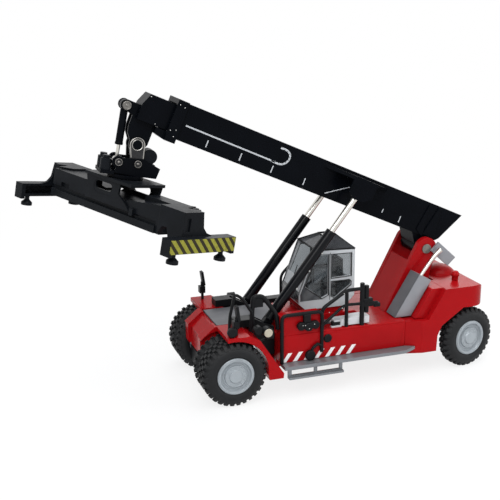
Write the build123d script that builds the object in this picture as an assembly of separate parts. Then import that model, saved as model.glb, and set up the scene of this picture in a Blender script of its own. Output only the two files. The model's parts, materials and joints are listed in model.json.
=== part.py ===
from build123d import *
import os
from math import atan2, cos, degrees, hypot, radians, sin

# Reach stacker, die-cast display model at 1:76. Millimetres.
# Machine frame while building: +X forward with 0 at the front axle, +Y to the
# machine's left, +Z up with 0 at the ground. Everything is moved to the base
# centre of the whole model just before it is written.

# ---------------------------------------------------------------- wheels
WHEELBASE = 85.6
TYRE_R = 10.65
TYRE_W = 8.8
TYRE_SHOULDER = 1.3
RIM_R = 6.1
LUG_COUNT = 20
LUG_GROOVE_W = 1.3
LUG_GROOVE_DEPTH = 0.75
LUG_REACH = 2.9
FRONT_FACE_Y = 23.0
TWIN_TYRE_W = 4.4
TWIN_GAP = 0.5
REAR_FACE_Y = 19.0
REAR_TYRE_W = 5.6
SPINDLE_R = 1.2
RUN_GAP = 0.06
PRESS_GAP = 0.02

# ---------------------------------------------------------------- chassis
DECK_Z = 23.0
HULL_HALF_W = 14.0
SIDE_Y = 18.0
SIDE_TOP_Z = 27.0
SILL_Z = 10.9
LEDGE_Z = 20.0
HULL_FLOOR_Z = 8.0
HULL_FRONT_X = -16.8
SIDE_STEP_X = -30.9
WELL_FRONT_X = -WHEELBASE + 14.8
CW_FRONT_X = WELL_FRONT_X + 8.8
WELL_HALF_W = 17.6
WELL_TOP_Z = 22.6
CW_REAR_X = -WHEELBASE - 7.4
NOSE_BACK_X = 2.2
AXLE_SEAT_Z = 14.4
PLATE_T = 0.6
PLATE_Z = DECK_Z - PLATE_T
SPINE_FRONT_HALF_W = 8.6
SPINE_Z = 14.5
SPINE_H = 6.4
SPINE_HALF_W = 3.6
BOARD_Y = 22.0
BOARD_T = 1.1
STEP_Z = 6.4
FENDER_Z = 23.2
WHEEL_ARCH_GAP = 0.7
NOSE_HALF_W = 10.0
MOUNT_STEP_X = -8.6
MOUNT_Y = (SPINE_FRONT_HALF_W + 0.05, 13.2)
CHEEK_T = 4.2
CW_HALF_W = 19.6
CW_TOP_Z = 29.9
CW_CORNER_R = 7.0
EAR_OUT_Y = 7.8
EAR_T = 1.7
EAR_R = 3.9

# ---------------------------------------------------------------- cab
CAB_Y = 8.0
CAB_WALL = 0.7
CAB_REAR_X = -47.4
CAB_FLOOR_Z = 24.4
CAB_TOP_Z = 44.0

# ---------------------------------------------------------------- boom
PIVOT = (-74.6, 41.3)
PIVOT_R = 1.5
BOOM_ANGLE = 24.1
BOOM_BOTTOM = 3.55
BOOM_DEPTH = 11.6
BOOM_HALF_W = 5.2
BOOM_WALL = 0.9
BOOM_ROOF = 1.3
BOOM_FRONT = 97.4
COLLAR_L = 3.6
COLLAR_T = 0.6
COLLAR_DROP = 1.4
SLIDE_GAP = 0.25
INNER_TAIL = 18.0
INNER_FRONT = 109.3
INNER_SLANT = 1.5
BRACKET_Y = 12.9
BRACKET_TOP = (2.2, 1.0)
CYL_Y = 10.7
CYL_EYE = (34.2, 9.9)
CYL_FOOT = (-13.2, 21.3)
BARREL_R = 1.75
BARREL_L = 38.9
ROD_R = 1.05
ROD_L = 43.0

# ---------------------------------------------------------------- head and spreader
HEAD_HALF_W = 2.2
HEAD_PLATE = 0.75
TOP_PIN = (114.8, 7.7)
HEAD_PIN = (107.3, -2.4)
TOP_PIN_R = 0.9
TILT_PIN_R = 1.2
EAR_TIP_R = 1.75
HEAD_BOSS_R = 2.6
PIN_HEAD_R = 1.2
PIN_HEAD_T = 0.5
TILT = -10.6
SLEW = 28.0
SLEW_X = 1.75
LINK_T = 0.7
LINK_DROP = 5.7
LINK_PIN_X = -0.7
DAMPER_PIN_X = 5.3
DAMPER_R = 1.15
YOKE_T = 0.7
YOKE_BOTTOM = 9.7
SLEW_RING_T = 0.9
DRUM = (-4.6, -3.3)
DRUM_R = 2.3
FEET_DROP = 28.0
FEET_X = 9.67
FEET_Y = 35.9
BEAM_Z0 = 5.3
BEAM_Z1 = 14.0
BEAM_HALF_W = 5.5
BEAM_HALF_L = 28.5
FLANGE_Z = 7.5
GROOVE_Z = 8.9
GROOVE_DEPTH = 0.6
GROOVE_END_Y = 22.5
ARM_GAP = 0.2
ARM_SIDE_X = -1.0
ARM_FRONT_X = 6.5
ARM_START_Y = 24.6
ARM_TOP_Z = 14.2
FRAME_HALF_W = 6.2
FRAME_TOP_T = 0.9
FRAME_LONG_Y = 10.4
FRAME_SHORT_Y = 5.0
FRAME_FLOOR_Z = 11.4
CROSS_Y = (34.2, 37.9)
CROSS_HALF_L = 13.25
CROSS_Z0 = 3.2
CROSS_Z1 = 7.5
FOOT_R = 1.8
FOOT_T = 0.9
FOOT_SHAFT_R = 0.75


def prism(points, y0, y1, radius=0):
    """An outline in X and Z, extruded along Y from y0 to y1."""
    outline = Polygon(*points, align=None)
    if radius:
        outline = fillet(outline.vertices(), radius)
    return extrude(Plane.XZ.offset(-y0) * outline, amount=y1 - y0, dir=(0, 1, 0))


def slab(points, z0, z1):
    """An outline in X and Y, extruded upwards from z0 to z1."""
    return extrude(Plane.XY.offset(z0) * Polygon(*points, align=None), amount=z1 - z0, dir=(0, 0, 1))


def block(x0, x1, y0, y1, z0, z1):
    """A box between two corners."""
    return Pos((x0 + x1) / 2, (y0 + y1) / 2, (z0 + z1) / 2) * Box(x1 - x0, y1 - y0, z1 - z0)


def cross_prism(points, x0, x1, radius=0):
    """An outline in Y and Z, extruded along X from x0 to x1."""
    return Rot(0, 0, 90) * prism(points, -x1, -x0, radius)


def rod_y(x, z, y0, y1, radius):
    """A round bar along Y."""
    return Pos(x, (y0 + y1) / 2, z) * Rot(90, 0, 0) * Cylinder(radius, y1 - y0)


def rod_z(x, y, z0, z1, radius):
    """A round bar along Z."""
    return Pos(x, y, (z0 + z1) / 2) * Cylinder(radius, z1 - z0)


def bar(start, end, radius):
    """A round bar between two points."""
    a, b = Vector(*start), Vector(*end)
    return extrude(Plane(origin=a, z_dir=b - a) * Circle(radius), amount=(b - a).length)


def rail(points, radius):
    """A round tube along a route, mitred at its corners."""
    path = Polyline(*points)
    start = Plane(origin=path @ 0, z_dir=path % 0)
    return sweep(start * Circle(radius), path=path, transition=Transition.RIGHT)


def spin(profile):
    """A turned piece about the Y axis, from a profile of radius and y."""
    outline = Plane.XY * Polygon(*profile, align=None)
    return revolve(outline, axis=Axis.Y, revolution_arc=360)


def mirrored(shape):
    """The same piece on the machine's other side."""
    return mirror(shape, about=Plane.XZ)


def both_sides(shape):
    """A piece joined with its twin on the other side."""
    return shape + mirrored(shape)


def both(shape):
    """A piece and its twin on the other side, as two solids."""
    return Compound([*shape.solids(), *mirrored(shape).solids()])


# ---------------------------------------------------------------- wheels
def tyre(width, lugs):
    """A tyre about the Y axis with flat lugs, its outer face at y = 0 and the rest behind it."""
    flats = 2 * LUG_COUNT
    tread = RegularPolygon(TYRE_R, flats, major_radius=False)
    wall = RegularPolygon(TYRE_R - TYRE_SHOULDER, flats, major_radius=False)
    side = TYRE_SHOULDER
    shape = loft([Pos(0, 0, -width) * wall, Pos(0, 0, side - width) * tread], ruled=True)
    shape += extrude(Pos(0, 0, side - width) * tread, amount=width - 2 * side)
    shape += loft([Pos(0, 0, -side) * tread, wall], ruled=True)
    bore = RegularPolygon(RIM_R + PRESS_GAP, flats, major_radius=False)
    shape -= extrude(Pos(0, 0, -width) * bore, amount=width)
    shape = Rot(-90, 0, 0) * shape
    if not lugs:
        return shape
    groove = Pos(TYRE_R, 0, 0) * Box(2 * LUG_GROOVE_DEPTH, 2 * LUG_REACH, LUG_GROOVE_W)
    pitch = 360 / flats
    cuts = []
    for row, y in enumerate((0, -width)):
        for n in range(LUG_COUNT):
            cuts.append(Rot(0, pitch * (2 * n + row + 0.5), 0) * Pos(0, y, 0) * groove)
    return shape - cuts


def rim(width, bore_depth):
    """A dished rim about the Y axis with stepped rings, and a blind bore for its spindle."""
    face = spin([
        (0, -width), (RIM_R, -width), (RIM_R, -0.3), (5.6, 0), (5.2, 0), (4.8, -0.9),
        (3.8, -0.9), (3.6, -0.4), (2.3, -0.4), (2.0, 0.1), (0, 0.1),
    ])
    return face - rod_y(0, 0, -width - 1, -width + bore_depth, SPINDLE_R + RUN_GAP)


def front_wheel():
    """Twin tyres and their rim; returns the tyres and the rim, outer face at y = 0."""
    inner_face = -TYRE_W - TWIN_GAP
    twin = Pos(0, inner_face, 0) * tyre(TWIN_TYRE_W, False)
    tyres = Compound([*tyre(TYRE_W, True).solids(), *twin.solids()])
    hub = rim(TYRE_W + TWIN_GAP + TWIN_TYRE_W, TYRE_W + TWIN_TYRE_W - 2)
    return tyres, hub


def rear_wheel():
    """A single tyre and its rim, open behind for the steering knuckle."""
    width = REAR_TYRE_W
    hub = rim(width, width - 1.6)
    return tyre(width, True), hub - rod_y(0, 0, -width - 1, 1.6 - width, 5.2)


def place_front(shape):
    return Pos(0, FRONT_FACE_Y, TYRE_R) * shape


KINGPIN_Y = REAR_FACE_Y - REAR_TYRE_W - 3.2
STEER_REST = 10.5


def steered(shape, side):
    """Turns a piece of the rear wheel on the given side about its kingpin."""
    pin = Pos(-WHEELBASE, side * KINGPIN_Y, 0)
    return pin * Rot(0, 0, STEER_REST) * pin.inverse() * shape


# ---------------------------------------------------------------- chassis
def chassis_frame():
    """The hull between the axles, with its tall side boxes and its rear spine."""
    centre = prism([
        (NOSE_BACK_X, PLATE_Z), (NOSE_BACK_X, AXLE_SEAT_Z), (-11.0, AXLE_SEAT_Z),
        (HULL_FRONT_X + 0.8, HULL_FLOOR_Z), (WELL_FRONT_X, HULL_FLOOR_Z), (WELL_FRONT_X, LEDGE_Z),
        (CAB_REAR_X - 2.6, LEDGE_Z), (CAB_REAR_X - 0.1, PLATE_Z),
    ], -SPINE_FRONT_HALF_W, SPINE_FRONT_HALF_W)
    hull = centre + block(CW_FRONT_X, HULL_FRONT_X, -HULL_HALF_W, HULL_HALF_W, HULL_FLOOR_Z, LEDGE_Z)
    hull += block(CAB_REAR_X + 3.6, -29.8, -CAB_Y + 0.6, CAB_Y - 0.6, PLATE_Z, CAB_FLOOR_Z)
    for side in (1, -1):
        y0, y1 = sorted((HULL_HALF_W * side, SIDE_Y * side))
        hull += prism([
            (HULL_FRONT_X, SIDE_TOP_Z), (SIDE_STEP_X, SIDE_TOP_Z), (SIDE_STEP_X, LEDGE_Z + 0.5),
            (CW_FRONT_X, LEDGE_Z), (CW_FRONT_X, SILL_Z), (HULL_FRONT_X, SILL_Z),
        ], y0, y1)
    spine = block(-WHEELBASE - 2.2, WELL_FRONT_X, -SPINE_HALF_W, SPINE_HALF_W, SPINE_Z, SPINE_Z + SPINE_H)
    return hull + spine


def nose():
    """The front between the wheels: a sloped centre plate between two cheeks."""
    cheek = prism([
        (NOSE_BACK_X, FENDER_Z), (NOSE_BACK_X, 16.0), (7.2, 12.6), (7.7, 13.4), (7.7, 19.3), (6.9, 20.0),
        (3.0, FENDER_Z),
    ], NOSE_HALF_W - CHEEK_T, NOSE_HALF_W)
    cheek -= rod_y(0, TYRE_R, 8.9, NOSE_HALF_W + 1, TYRE_R + WHEEL_ARCH_GAP)
    centre = prism([
        (NOSE_BACK_X, FENDER_Z - 0.8), (NOSE_BACK_X, 15.0), (6.7, 12.2), (6.7, 18.8), (2.9, FENDER_Z - 0.8),
    ], -NOSE_HALF_W + CHEEK_T, NOSE_HALF_W - CHEEK_T)
    return centre + cheek + mirrored(cheek)


def fender():
    """The left front fender: flat top, skirt around the tyre and a leg down to a foot."""
    arch_r = TYRE_R + WHEEL_ARCH_GAP
    top_z = FENDER_Z
    outline = prism([
        (NOSE_BACK_X, top_z), (-5.2, top_z), (-8.6, 21.2), (HULL_FRONT_X + 0.2, 9.0),
        (HULL_FRONT_X + 0.4, 7.4), (-11.6, 7.4), (-10.6, 12), (-2.0, 20.0), (NOSE_BACK_X, 20.9),
    ], SPINE_FRONT_HALF_W + 0.1, BOARD_Y)
    outline -= block(HULL_FRONT_X - 1, MOUNT_STEP_X - 0.1, 0, MOUNT_Y[1] + 0.1, 0, 40)
    return outline - rod_y(0, TYRE_R, 0, BOARD_Y + 1, arch_r)


def counterweight():
    """The rear weight over the steered wheels, with legs ahead of them."""
    tail, well = CW_REAR_X, WELL_FRONT_X
    side = [
        (CW_FRONT_X, 8.0), (well - 2.6, 8.0), (well - 2.9, 13.6), (well - 4.4, 16.9),
        (well - 12.6, WELL_TOP_Z), (tail + 1.6, WELL_TOP_Z - 0.2), (tail, 24.0), (tail + 0.2, CW_TOP_Z - 3.2),
        (tail + 0.9, CW_TOP_Z - 1.5), (tail + 2.1, CW_TOP_Z - 0.4), (tail + 3.8, CW_TOP_Z),
        (well - 5.4, CW_TOP_Z), (well + 0.8, 19.6), (CW_FRONT_X, 19.6),
    ]
    body = prism(side, -CW_HALF_W, CW_HALF_W)
    plan = Polygon(
        (CW_FRONT_X, SIDE_Y), (well + 2.8, CW_HALF_W), (tail - 0.1, CW_HALF_W), (tail - 0.1, -CW_HALF_W),
        (well + 2.8, -CW_HALF_W), (CW_FRONT_X, -SIDE_Y), align=None,
    )
    plan = fillet(plan.vertices().sort_by(Axis.X)[:2], CW_CORNER_R)
    body = body & extrude(plan, 40, dir=(0, 0, 1))
    hollow = block(tail - 2, well, SPINE_HALF_W + 0.2, WELL_HALF_W, 0, WELL_TOP_Z)
    body = body - hollow - mirrored(hollow)
    body -= block(well - 6.8, CW_FRONT_X + 1, -SPINE_FRONT_HALF_W - 0.1, SPINE_FRONT_HALF_W + 0.1, 0, 40)
    spine_slot = block(tail - 2, well, -SPINE_HALF_W - 0.2, SPINE_HALF_W + 0.2, 0, SPINE_Z + SPINE_H)
    return body - spine_slot


def engine_hood():
    """The round hood on the counterweight, with the filler cap beside it."""
    dome = Pos(-84.2, 0, CW_TOP_Z - 4.8) * Sphere(7.7)
    dome = dome & block(-95, -78.6, -8, 8, CW_TOP_Z, 40)
    knob = Polygon((0, 0), (1.1, 0), (1.1, 1.1), (1.5, 1.6), (1.5, 2.3), (1.0, 3.1), (0, 3.4), align=None)
    cap = Pos(-84.6, 11.0, CW_TOP_Z) * revolve(Plane.XZ * knob, axis=Axis.Z, revolution_arc=360)
    return Compound([*dome.solids(), *cap.solids()])


def tower():
    """Two ears that carry the boom's pivot, joined by a front plate with openings."""
    px, pz = PIVOT
    ear = prism([
        (-59.2, LEDGE_Z), (-71.0, pz + 1.5), (px - EAR_R + 0.2, pz - 1.5), (-76.4, 33.0), (-75.0, 24.0),
        (WELL_FRONT_X, LEDGE_Z),
    ], EAR_OUT_Y - EAR_T, EAR_OUT_Y)
    ear += rod_y(px, pz, EAR_OUT_Y - EAR_T, EAR_OUT_Y, EAR_R)
    ear -= rod_y(px, pz, EAR_OUT_Y - EAR_T - 1, EAR_OUT_Y + 1, PIVOT_R + PRESS_GAP)
    plate = prism([
        (-59.2, LEDGE_Z), (-68.4, 37.4), (-70.0, 36.6), (-61.2, LEDGE_Z),
    ], -EAR_OUT_Y + EAR_T, EAR_OUT_Y - EAR_T)
    return ear + mirrored(ear) + plate


def pivot_pin():
    px, pz = PIVOT
    shaft = rod_y(px, pz, -EAR_OUT_Y, EAR_OUT_Y, PIVOT_R)
    head = rod_y(px, pz, EAR_OUT_Y, EAR_OUT_Y + 0.35, PIVOT_R + 0.15)
    return shaft + head + mirrored(head)


def deck_plates():
    """The walking plates beside the cab and behind the nose."""
    front = block(-20.5, 1.6, -8.0, 8.0, PLATE_Z, DECK_Z)
    side = block(-49.0, -31.5, 9.2, 12.0, LEDGE_Z, LEDGE_Z + PLATE_T)
    return Compound([*front.solids(), *side.solids(), *mirrored(side).solids()])


def cylinder_mounts():
    """Black boxes beside the deck that carry the lift cylinders' feet."""
    fx, fz = CYL_FOOT
    outer = prism([
        (-3.0, FENDER_Z), (-3.0, DECK_Z + 2.6), (fx + 3.5, DECK_Z + 2.6), (fx, fz + 2.2),
        (fx - 3.2, fz + 0.9), (fx - 3.2, 12.5), (fx + 1.4, 12.5), (fx + 2.0, 18.2),
        (MOUNT_STEP_X, FENDER_Z - 2.0), (MOUNT_STEP_X, FENDER_Z),
    ], *MOUNT_Y)
    slot = block(fx - 5, fx + 4.4, CYL_Y - 1.25, CYL_Y + 1.25, fz - 3.4, fz + 9)
    mount = outer - slot - rod_y(0, TYRE_R, 8.0, 14.0, TYRE_R + WHEEL_ARCH_GAP)
    pin = rod_y(fx, fz, MOUNT_Y[0] + 0.1, MOUNT_Y[1] - 0.1, 0.8)
    return both(mount + pin)


def axle_front():
    """The drive axle between the twin wheels, with a spindle for each."""
    housing = prism([
        (-6.2, 5.4), (-4.2, 3.9), (4.2, 3.9), (6.2, 5.4), (6.2, 10.8), (1.6, AXLE_SEAT_Z),
        (-6.2, AXLE_SEAT_Z),
    ], -8.4, 8.4)
    return housing + rod_y(0, TYRE_R, -FRONT_FACE_Y + 3.2, FRONT_FACE_Y - 3.2, SPINDLE_R)


def axle_rear():
    """The steering axle beam, hung under the spine, with an eye at each end."""
    x = -WHEELBASE
    end = KINGPIN_Y
    beam = block(x - 2.2, x + 2.2, -end + 1.5, end - 1.5, 8.8, 12.5)
    post = block(x - 2.0, x + 4.6, -2.8, 2.8, 12.5, SPINE_Z)
    eye = rod_z(x, end, 8.8, 12.5, 1.9)
    hole = rod_z(x, end, 8.0, 13.0, 0.9 + RUN_GAP)
    return beam + post + (eye - hole) + mirrored(eye - hole) - hole - mirrored(hole)


def knuckle():
    """The left steering knuckle: kingpin, yoke round the axle's eye, and spindle."""
    x, y = -WHEELBASE, KINGPIN_Y
    pin = rod_z(x, y, 7.3, 14.0, 0.9)
    caps = rod_z(x, y, 7.3, 8.7, 1.8) + rod_z(x, y, 12.6, 14.0, 1.8)
    web_y = y + 2.6
    web = block(x - 1.6, x + 1.6, web_y, web_y + 0.9, 7.3, 14.0)
    arms = block(x - 1.6, x + 1.6, y, web_y, 7.3, 8.7) + block(x - 1.6, x + 1.6, y, web_y, 12.6, 14.0)
    return pin + caps + arms + web + rod_y(x, TYRE_R, web_y, REAR_FACE_Y - 2.0, SPINDLE_R)


def running_boards():
    """The walkway along each side, with the slotted step under its front."""
    board = slab([
        (-16.9, SIDE_Y), (-16.9, BOARD_Y), (-60.5, BOARD_Y), (-65.2, 19.4), (-62.0, SIDE_Y),
    ], SILL_Z - BOARD_T, SILL_Z)
    step = prism([
        (-18.4, STEP_Z), (-18.4, SILL_Z - BOARD_T), (-37.6, SILL_Z - BOARD_T), (-37.6, STEP_Z),
    ], BOARD_Y - 1.9, BOARD_Y - 1.1)
    for x0, x1 in ((-27.6, -19.6), (-36.6, -28.6)):
        step -= block(x0, x1, BOARD_Y - 3, BOARD_Y, STEP_Z + 1.0, SILL_Z - BOARD_T - 0.6)
    tread = block(-37.6, -18.4, BOARD_Y - 1.9, BOARD_Y + 0.2, STEP_Z, STEP_Z + 0.7)
    return both(board + step + tread)


# ---------------------------------------------------------------- cab
CAB_SIDE = [
    (CAB_REAR_X + 3.4, CAB_FLOOR_Z), (CAB_REAR_X, 27.8), (CAB_REAR_X, CAB_TOP_Z),
    (-32.8, CAB_TOP_Z + 0.6), (-27.2, 29.8), (-27.2, 26.6), (-29.6, CAB_FLOOR_Z),
]
CAB_WINDOWS = {
    # outline on the side wall of each pane
    "lower rear": [(-45.4, 33.4), (-39.0, 33.4), (-39.0, 28.4), (-40.3, 27.6), (-46.0, 31.6), (-46.0, 32.8)],
    "upper rear": [(-46.0, 34.9), (-46.0, 42.7), (-39.0, 42.9), (-39.0, 34.7)],
    "door": [(-37.7, 29.0), (-37.7, 42.9), (-33.8, 43.1), (-29.4, 32.6), (-35.4, 28.0)],
}


def cab_body():
    """The cab's shell, hollow, with its windows cut and no roof skin."""
    inner_y, floor = CAB_Y - CAB_WALL, CAB_FLOOR_Z + 0.9
    shell = prism(CAB_SIDE, -CAB_Y, CAB_Y)
    shell -= prism([
        (CAB_REAR_X + 3.7, floor), (CAB_REAR_X + 0.7, 28.1), (CAB_REAR_X + 0.7, 50.0),
        (-32.4, 50.0), (-28.0, 29.9), (-28.0, 26.9), (-29.9, floor),
    ], -inner_y, inner_y)
    for outline in CAB_WINDOWS.values():
        shell -= prism(outline, -CAB_Y - 1, CAB_Y + 1, 0.5)
    shell -= prism([(-25.8, 30.6), (-34.4, 43.6), (-29.2, 43.6), (-24.8, 30.6)], -CAB_Y + 1.0, CAB_Y - 1.0)
    return shell - block(CAB_REAR_X - 1, CAB_REAR_X + 2, -CAB_Y + 1.6, CAB_Y - 1.6, 33.0, 42.8)


def cab_roof():
    """The tinted hipped roof."""
    z, x = CAB_TOP_Z + 0.05, CAB_REAR_X
    low = Plane.XY.offset(z + 0.6) * Pos(x + 7.3, 0) * Rectangle(14.4, 2 * CAB_Y - 0.2)
    high = Plane.XY.offset(z + 4.0) * Pos(x + 7.0, 0) * Rectangle(5.0, 4.0)
    plate = [(x + 0.1, z), (x + 0.1, z + 0.6), (x + 14.5, z + 1.0), (x + 14.5, z + 0.6)]
    return loft([low, high], ruled=True) + prism(plate, 0.1 - CAB_Y, CAB_Y - 0.1)


def cab_glazing():
    """Thin panes behind each opening of the shell."""
    panes = []
    for outline in CAB_WINDOWS.values():
        cx = sum(p[0] for p in outline) / len(outline)
        cz = sum(p[1] for p in outline) / len(outline)
        wider = [(cx + (x - cx) * 1.06, cz + (z - cz) * 1.06) for x, z in outline]
        panes += both(prism(wider, CAB_Y - CAB_WALL - 0.3, CAB_Y - CAB_WALL)).solids()
    return Compound(panes)


def cab_interior():
    """The seat and the control console on the cab's floor."""
    x, floor = CAB_REAR_X, CAB_FLOOR_Z + 0.9
    seat = block(x + 3.8, x + 8.0, -2.6, 2.6, floor, 29.8)
    seat += prism([(x + 1.8, 29.0), (x + 1.8, 39.2), (x + 3.6, 39.2), (x + 4.2, 29.0)], -2.4, 2.4)
    console = prism([(-32.2, floor), (-30.8, 31.8), (-32.0, 32.2), (-35.4, floor)], -2.2, 2.2)
    return Compound([*seat.solids(), *console.solids()])


def cab_guard():
    """The bent tube ahead of the cab on the machine's right."""
    return rail([(-25.0, -7.4, DECK_Z), (-25.0, -7.4, 31.0), (-28.0, -7.4, 35.6)], 0.55)


# ---------------------------------------------------------------- chassis fittings
RAIL_R = 0.62


def handrails():
    """Side frame, stair rails and platform posts on the machine's left; mirrored right."""
    y = SIDE_Y + 0.1 + RAIL_R
    side = rail([(-17.0, y, SILL_Z), (-17.0, y, 27.4), (-31.0, y, 27.4), (-31.0, y, 13.4)], RAIL_R)
    y_in, x0, foot = 17.2, SIDE_STEP_X - RAIL_R - 0.1, LEDGE_Z + 0.5
    stair = rail([(x0, y_in, foot), (x0, y_in, 27.6), (-40.4, y_in, 33.0), (-46.0, y_in, 33.0)], RAIL_R)
    stair += rail([(x0 - 0.4, y_in, 22.0), (-39.6, y_in, 28.0), (-51.6, y_in, 27.6)], 0.8 * RAIL_R)
    stair += bar((-40.4, y_in, foot), (-40.4, y_in, 33.0), RAIL_R)
    stair += bar((-46.0, y_in, foot), (-46.0, y_in, 35.0), 1.3 * RAIL_R)
    stair += bar((-47.6, y_in, 24.6), (-47.6, y_in, 34.0), 1.3 * RAIL_R)
    y_front = 14.6
    front = rail([
        (-2.0, y_front, FENDER_Z), (-2.0, y_front, 30.0), (-7.5, y_front, 28.6), (-11.8, y_front + 0.8, 22.0),
    ], RAIL_R)
    return Compound([*both(side).solids(), *both(stair).solids(), *both(front).solids()])


def front_lamps():
    """Round lamps behind the fenders and the mirror stalks on them."""
    lamp = Pos(-12.2, 19.6, 22.4) * Rot(0, 90, 0) * Cylinder(1.7, 2.4)
    lamp += bar((-12.2, 19.6, 22.0), (-8.6, 19.6, 20.0), 0.5)
    lamp -= fender()
    stalk = bar((-1.4, 19.2, FENDER_Z), (-1.4, 19.4, 29.4), 0.5)
    stalk += block(-2.2, -0.2, 18.0, 20.2, 25.6, 28.0)
    stalk += Pos(-1.7, 19.6, 30.6) * Rot(0, 8, 0) * Box(0.9, 2.2, 5.0)
    return Compound([*both(stalk).solids(), *both(lamp).solids()])


def toolboxes():
    """Pale boxes on the ledges behind the side panels."""
    return both(block(-48.8, -36.4, 12.6, 16.4, LEDGE_Z + 0.5, LEDGE_Z + 2.6))


def silencer():
    """The slanted box of the silencer."""
    foot = LEDGE_Z + 0.3
    return prism([(-59.6, foot), (-65.6, foot), (-72.9, 32.2), (-68.4, 34.6)], SPINE_FRONT_HALF_W + 0.1, 15.0)


def exhaust():
    """The slanted silencer box with the heat shield by the left ear."""
    box = silencer()
    outline = [(-78.7, 43.5), (-85.4, 37.5), (-82.5, 34.7), (-75.8, 40.7)]
    shield = prism(outline, EAR_OUT_Y + 0.4, EAR_OUT_Y + 1.4)
    return Compound([*box.solids(), *shield.solids()])


def exhaust_pipe():
    """The curved tailpipe on the silencer."""
    pipe = rail([(-70.8, 11.0, 32.4), (-74.6, 11.0, 37.6), (-78.2, 11.0, 41.2)], 0.75)
    return pipe - silencer()


# ---------------------------------------------------------------- boom
def on_boom(shape):
    """Moves a piece from the boom's own frame (X along it from the pivot) to the machine's."""
    px, pz = PIVOT
    return Pos(px, 0, pz) * Rot(0, -BOOM_ANGLE, 0) * shape


def boom_point(s, n):
    """A point given along and above the boom's pivot, in the machine's X and Z."""
    a = radians(BOOM_ANGLE)
    return PIVOT[0] + s * cos(a) - n * sin(a), PIVOT[1] + s * sin(a) + n * cos(a)


def boom_outer():
    """The outer boom: a box with a slanted tail, pivot lugs, a front collar and cylinder brackets."""
    n0, n1 = BOOM_BOTTOM, BOOM_BOTTOM + BOOM_DEPTH
    w, front = BOOM_HALF_W, BOOM_FRONT
    tube = prism([(-4.6, n0 + 1.2), (-9.6, n1), (front, n1), (front, n0), (-3.4, n0)], -w, w)
    collar = block(front, front + COLLAR_L, -w - COLLAR_T, w + COLLAR_T, n0 - COLLAR_DROP, n1 + COLLAR_T / 2)
    lip_x = front + COLLAR_L
    lip = prism([(lip_x, n0 - COLLAR_DROP), (lip_x, n0 + BOOM_ROOF), (lip_x + 3.2, n0 + BOOM_ROOF),
                 (lip_x + 3.2, n0 - 0.6)], -w + BOOM_WALL, w - BOOM_WALL)
    shape = tube + collar
    shape -= prism([(2.0, n0 + BOOM_ROOF), (2.0, n1 - BOOM_ROOF), (front + 9, n1 - BOOM_ROOF),
                    (front + 9, n0 + BOOM_ROOF)], -w + BOOM_WALL, w - BOOM_WALL)
    lug = prism([(-3.0, n0 + 0.5), (-3.2, 0), (0, -3.0), (3.4, 0), (6.5, n0 + 0.5)], -w + 0.4, w - 0.4)
    lug += rod_y(0, 0, -w + 0.4, w - 0.4, 3.2)
    lug -= rod_y(0, 0, -w, w, PIVOT_R + RUN_GAP)
    shelf_z0, shelf_z1 = n1 - BRACKET_TOP[0], n1 - BRACKET_TOP[1]
    bracket = slab([(22.0, w), (30.0, BRACKET_Y), (39.0, BRACKET_Y), (47.0, w)], shelf_z0, shelf_z1)
    bracket += prism([
        (30.0, shelf_z1), (30.0, n1 - 6.4), (33.0, n1 - 8.2), (36.5, n1 - 8.2), (39.0, n1 - 6.4),
        (39.0, shelf_z1),
    ], BRACKET_Y - 0.7, BRACKET_Y)
    rib = prism([(-2.6, n0 + 0.6), (2.4, n0 + 0.6), (0.4, n1 - 0.6), (-0.6, n1 - 0.6)], w, w + 0.5)
    return on_boom(shape + lip + lug + both_sides(bracket) + both_sides(rib))


def inner_section():
    """Lower and upper faces and half width of the inner boom, clear of the outer one."""
    gap = BOOM_ROOF + SLIDE_GAP
    return BOOM_BOTTOM + gap, BOOM_BOTTOM + BOOM_DEPTH - gap, BOOM_HALF_W - BOOM_WALL - SLIDE_GAP


def boom_inner():
    """The sliding inner boom, cut off at a slant."""
    n0, n1, w = inner_section()
    x = INNER_FRONT
    tip = x + INNER_SLANT
    outline = [(INNER_TAIL, n0), (INNER_TAIL, n1), (x, n1), (tip, n1 - 3.6), (tip, n0)]
    return on_boom(prism(outline, -w, w))


def boom_head():
    """The gooseneck at the inner boom's end: two plates with the damper pin above and the tilt pin below."""
    n0, _, _ = inner_section()
    hx, hn = HEAD_PIN
    tx, tn = TOP_PIN
    rear, end, top = hx - 3.1, INNER_FRONT + INNER_SLANT, tn + EAR_TIP_R - 0.1
    outer, inner = HEAD_HALF_W, HEAD_HALF_W - HEAD_PLATE
    plate = prism([
        (rear, n0), (end, n0), (end, top), (tx, top), (tx - 0.8, tn - 1.5), (end + 1.2, tn - 2.1),
        (hx + 4.6, hn + 4.4), (hx + 4.1, hn + 2.5), (hx + 2.2, hn), (hx - 1.5, hn - 2.0), (rear, hn + 0.9),
    ], inner, outer)
    plate += rod_y(tx, tn, inner, outer, EAR_TIP_R)
    plate += rod_y(hx, hn, inner, outer, HEAD_BOSS_R)
    web = block(rear, end, -inner, inner, hn + 3.7, n0) + block(end, end + 0.6, -inner, inner, hn + 5.4, top)
    shape = both_sides(plate) + web
    shape -= rod_y(hx, hn, -outer - 1, outer + 1, TILT_PIN_R + RUN_GAP)
    shape -= rod_y(tx, tn, -outer - 1, outer + 1, TOP_PIN_R + PRESS_GAP)
    return on_boom(shape)


def head_pins():
    """The bright pin at the head's top ear, with a head at each end."""
    tx, tn = TOP_PIN
    shaft = rod_y(tx, tn, -HEAD_HALF_W, HEAD_HALF_W, TOP_PIN_R)
    head = rod_y(tx, tn, HEAD_HALF_W, HEAD_HALF_W + 2 * PIN_HEAD_T, PIN_HEAD_R + 0.15)
    return on_boom(shaft + both_sides(head))


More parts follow.
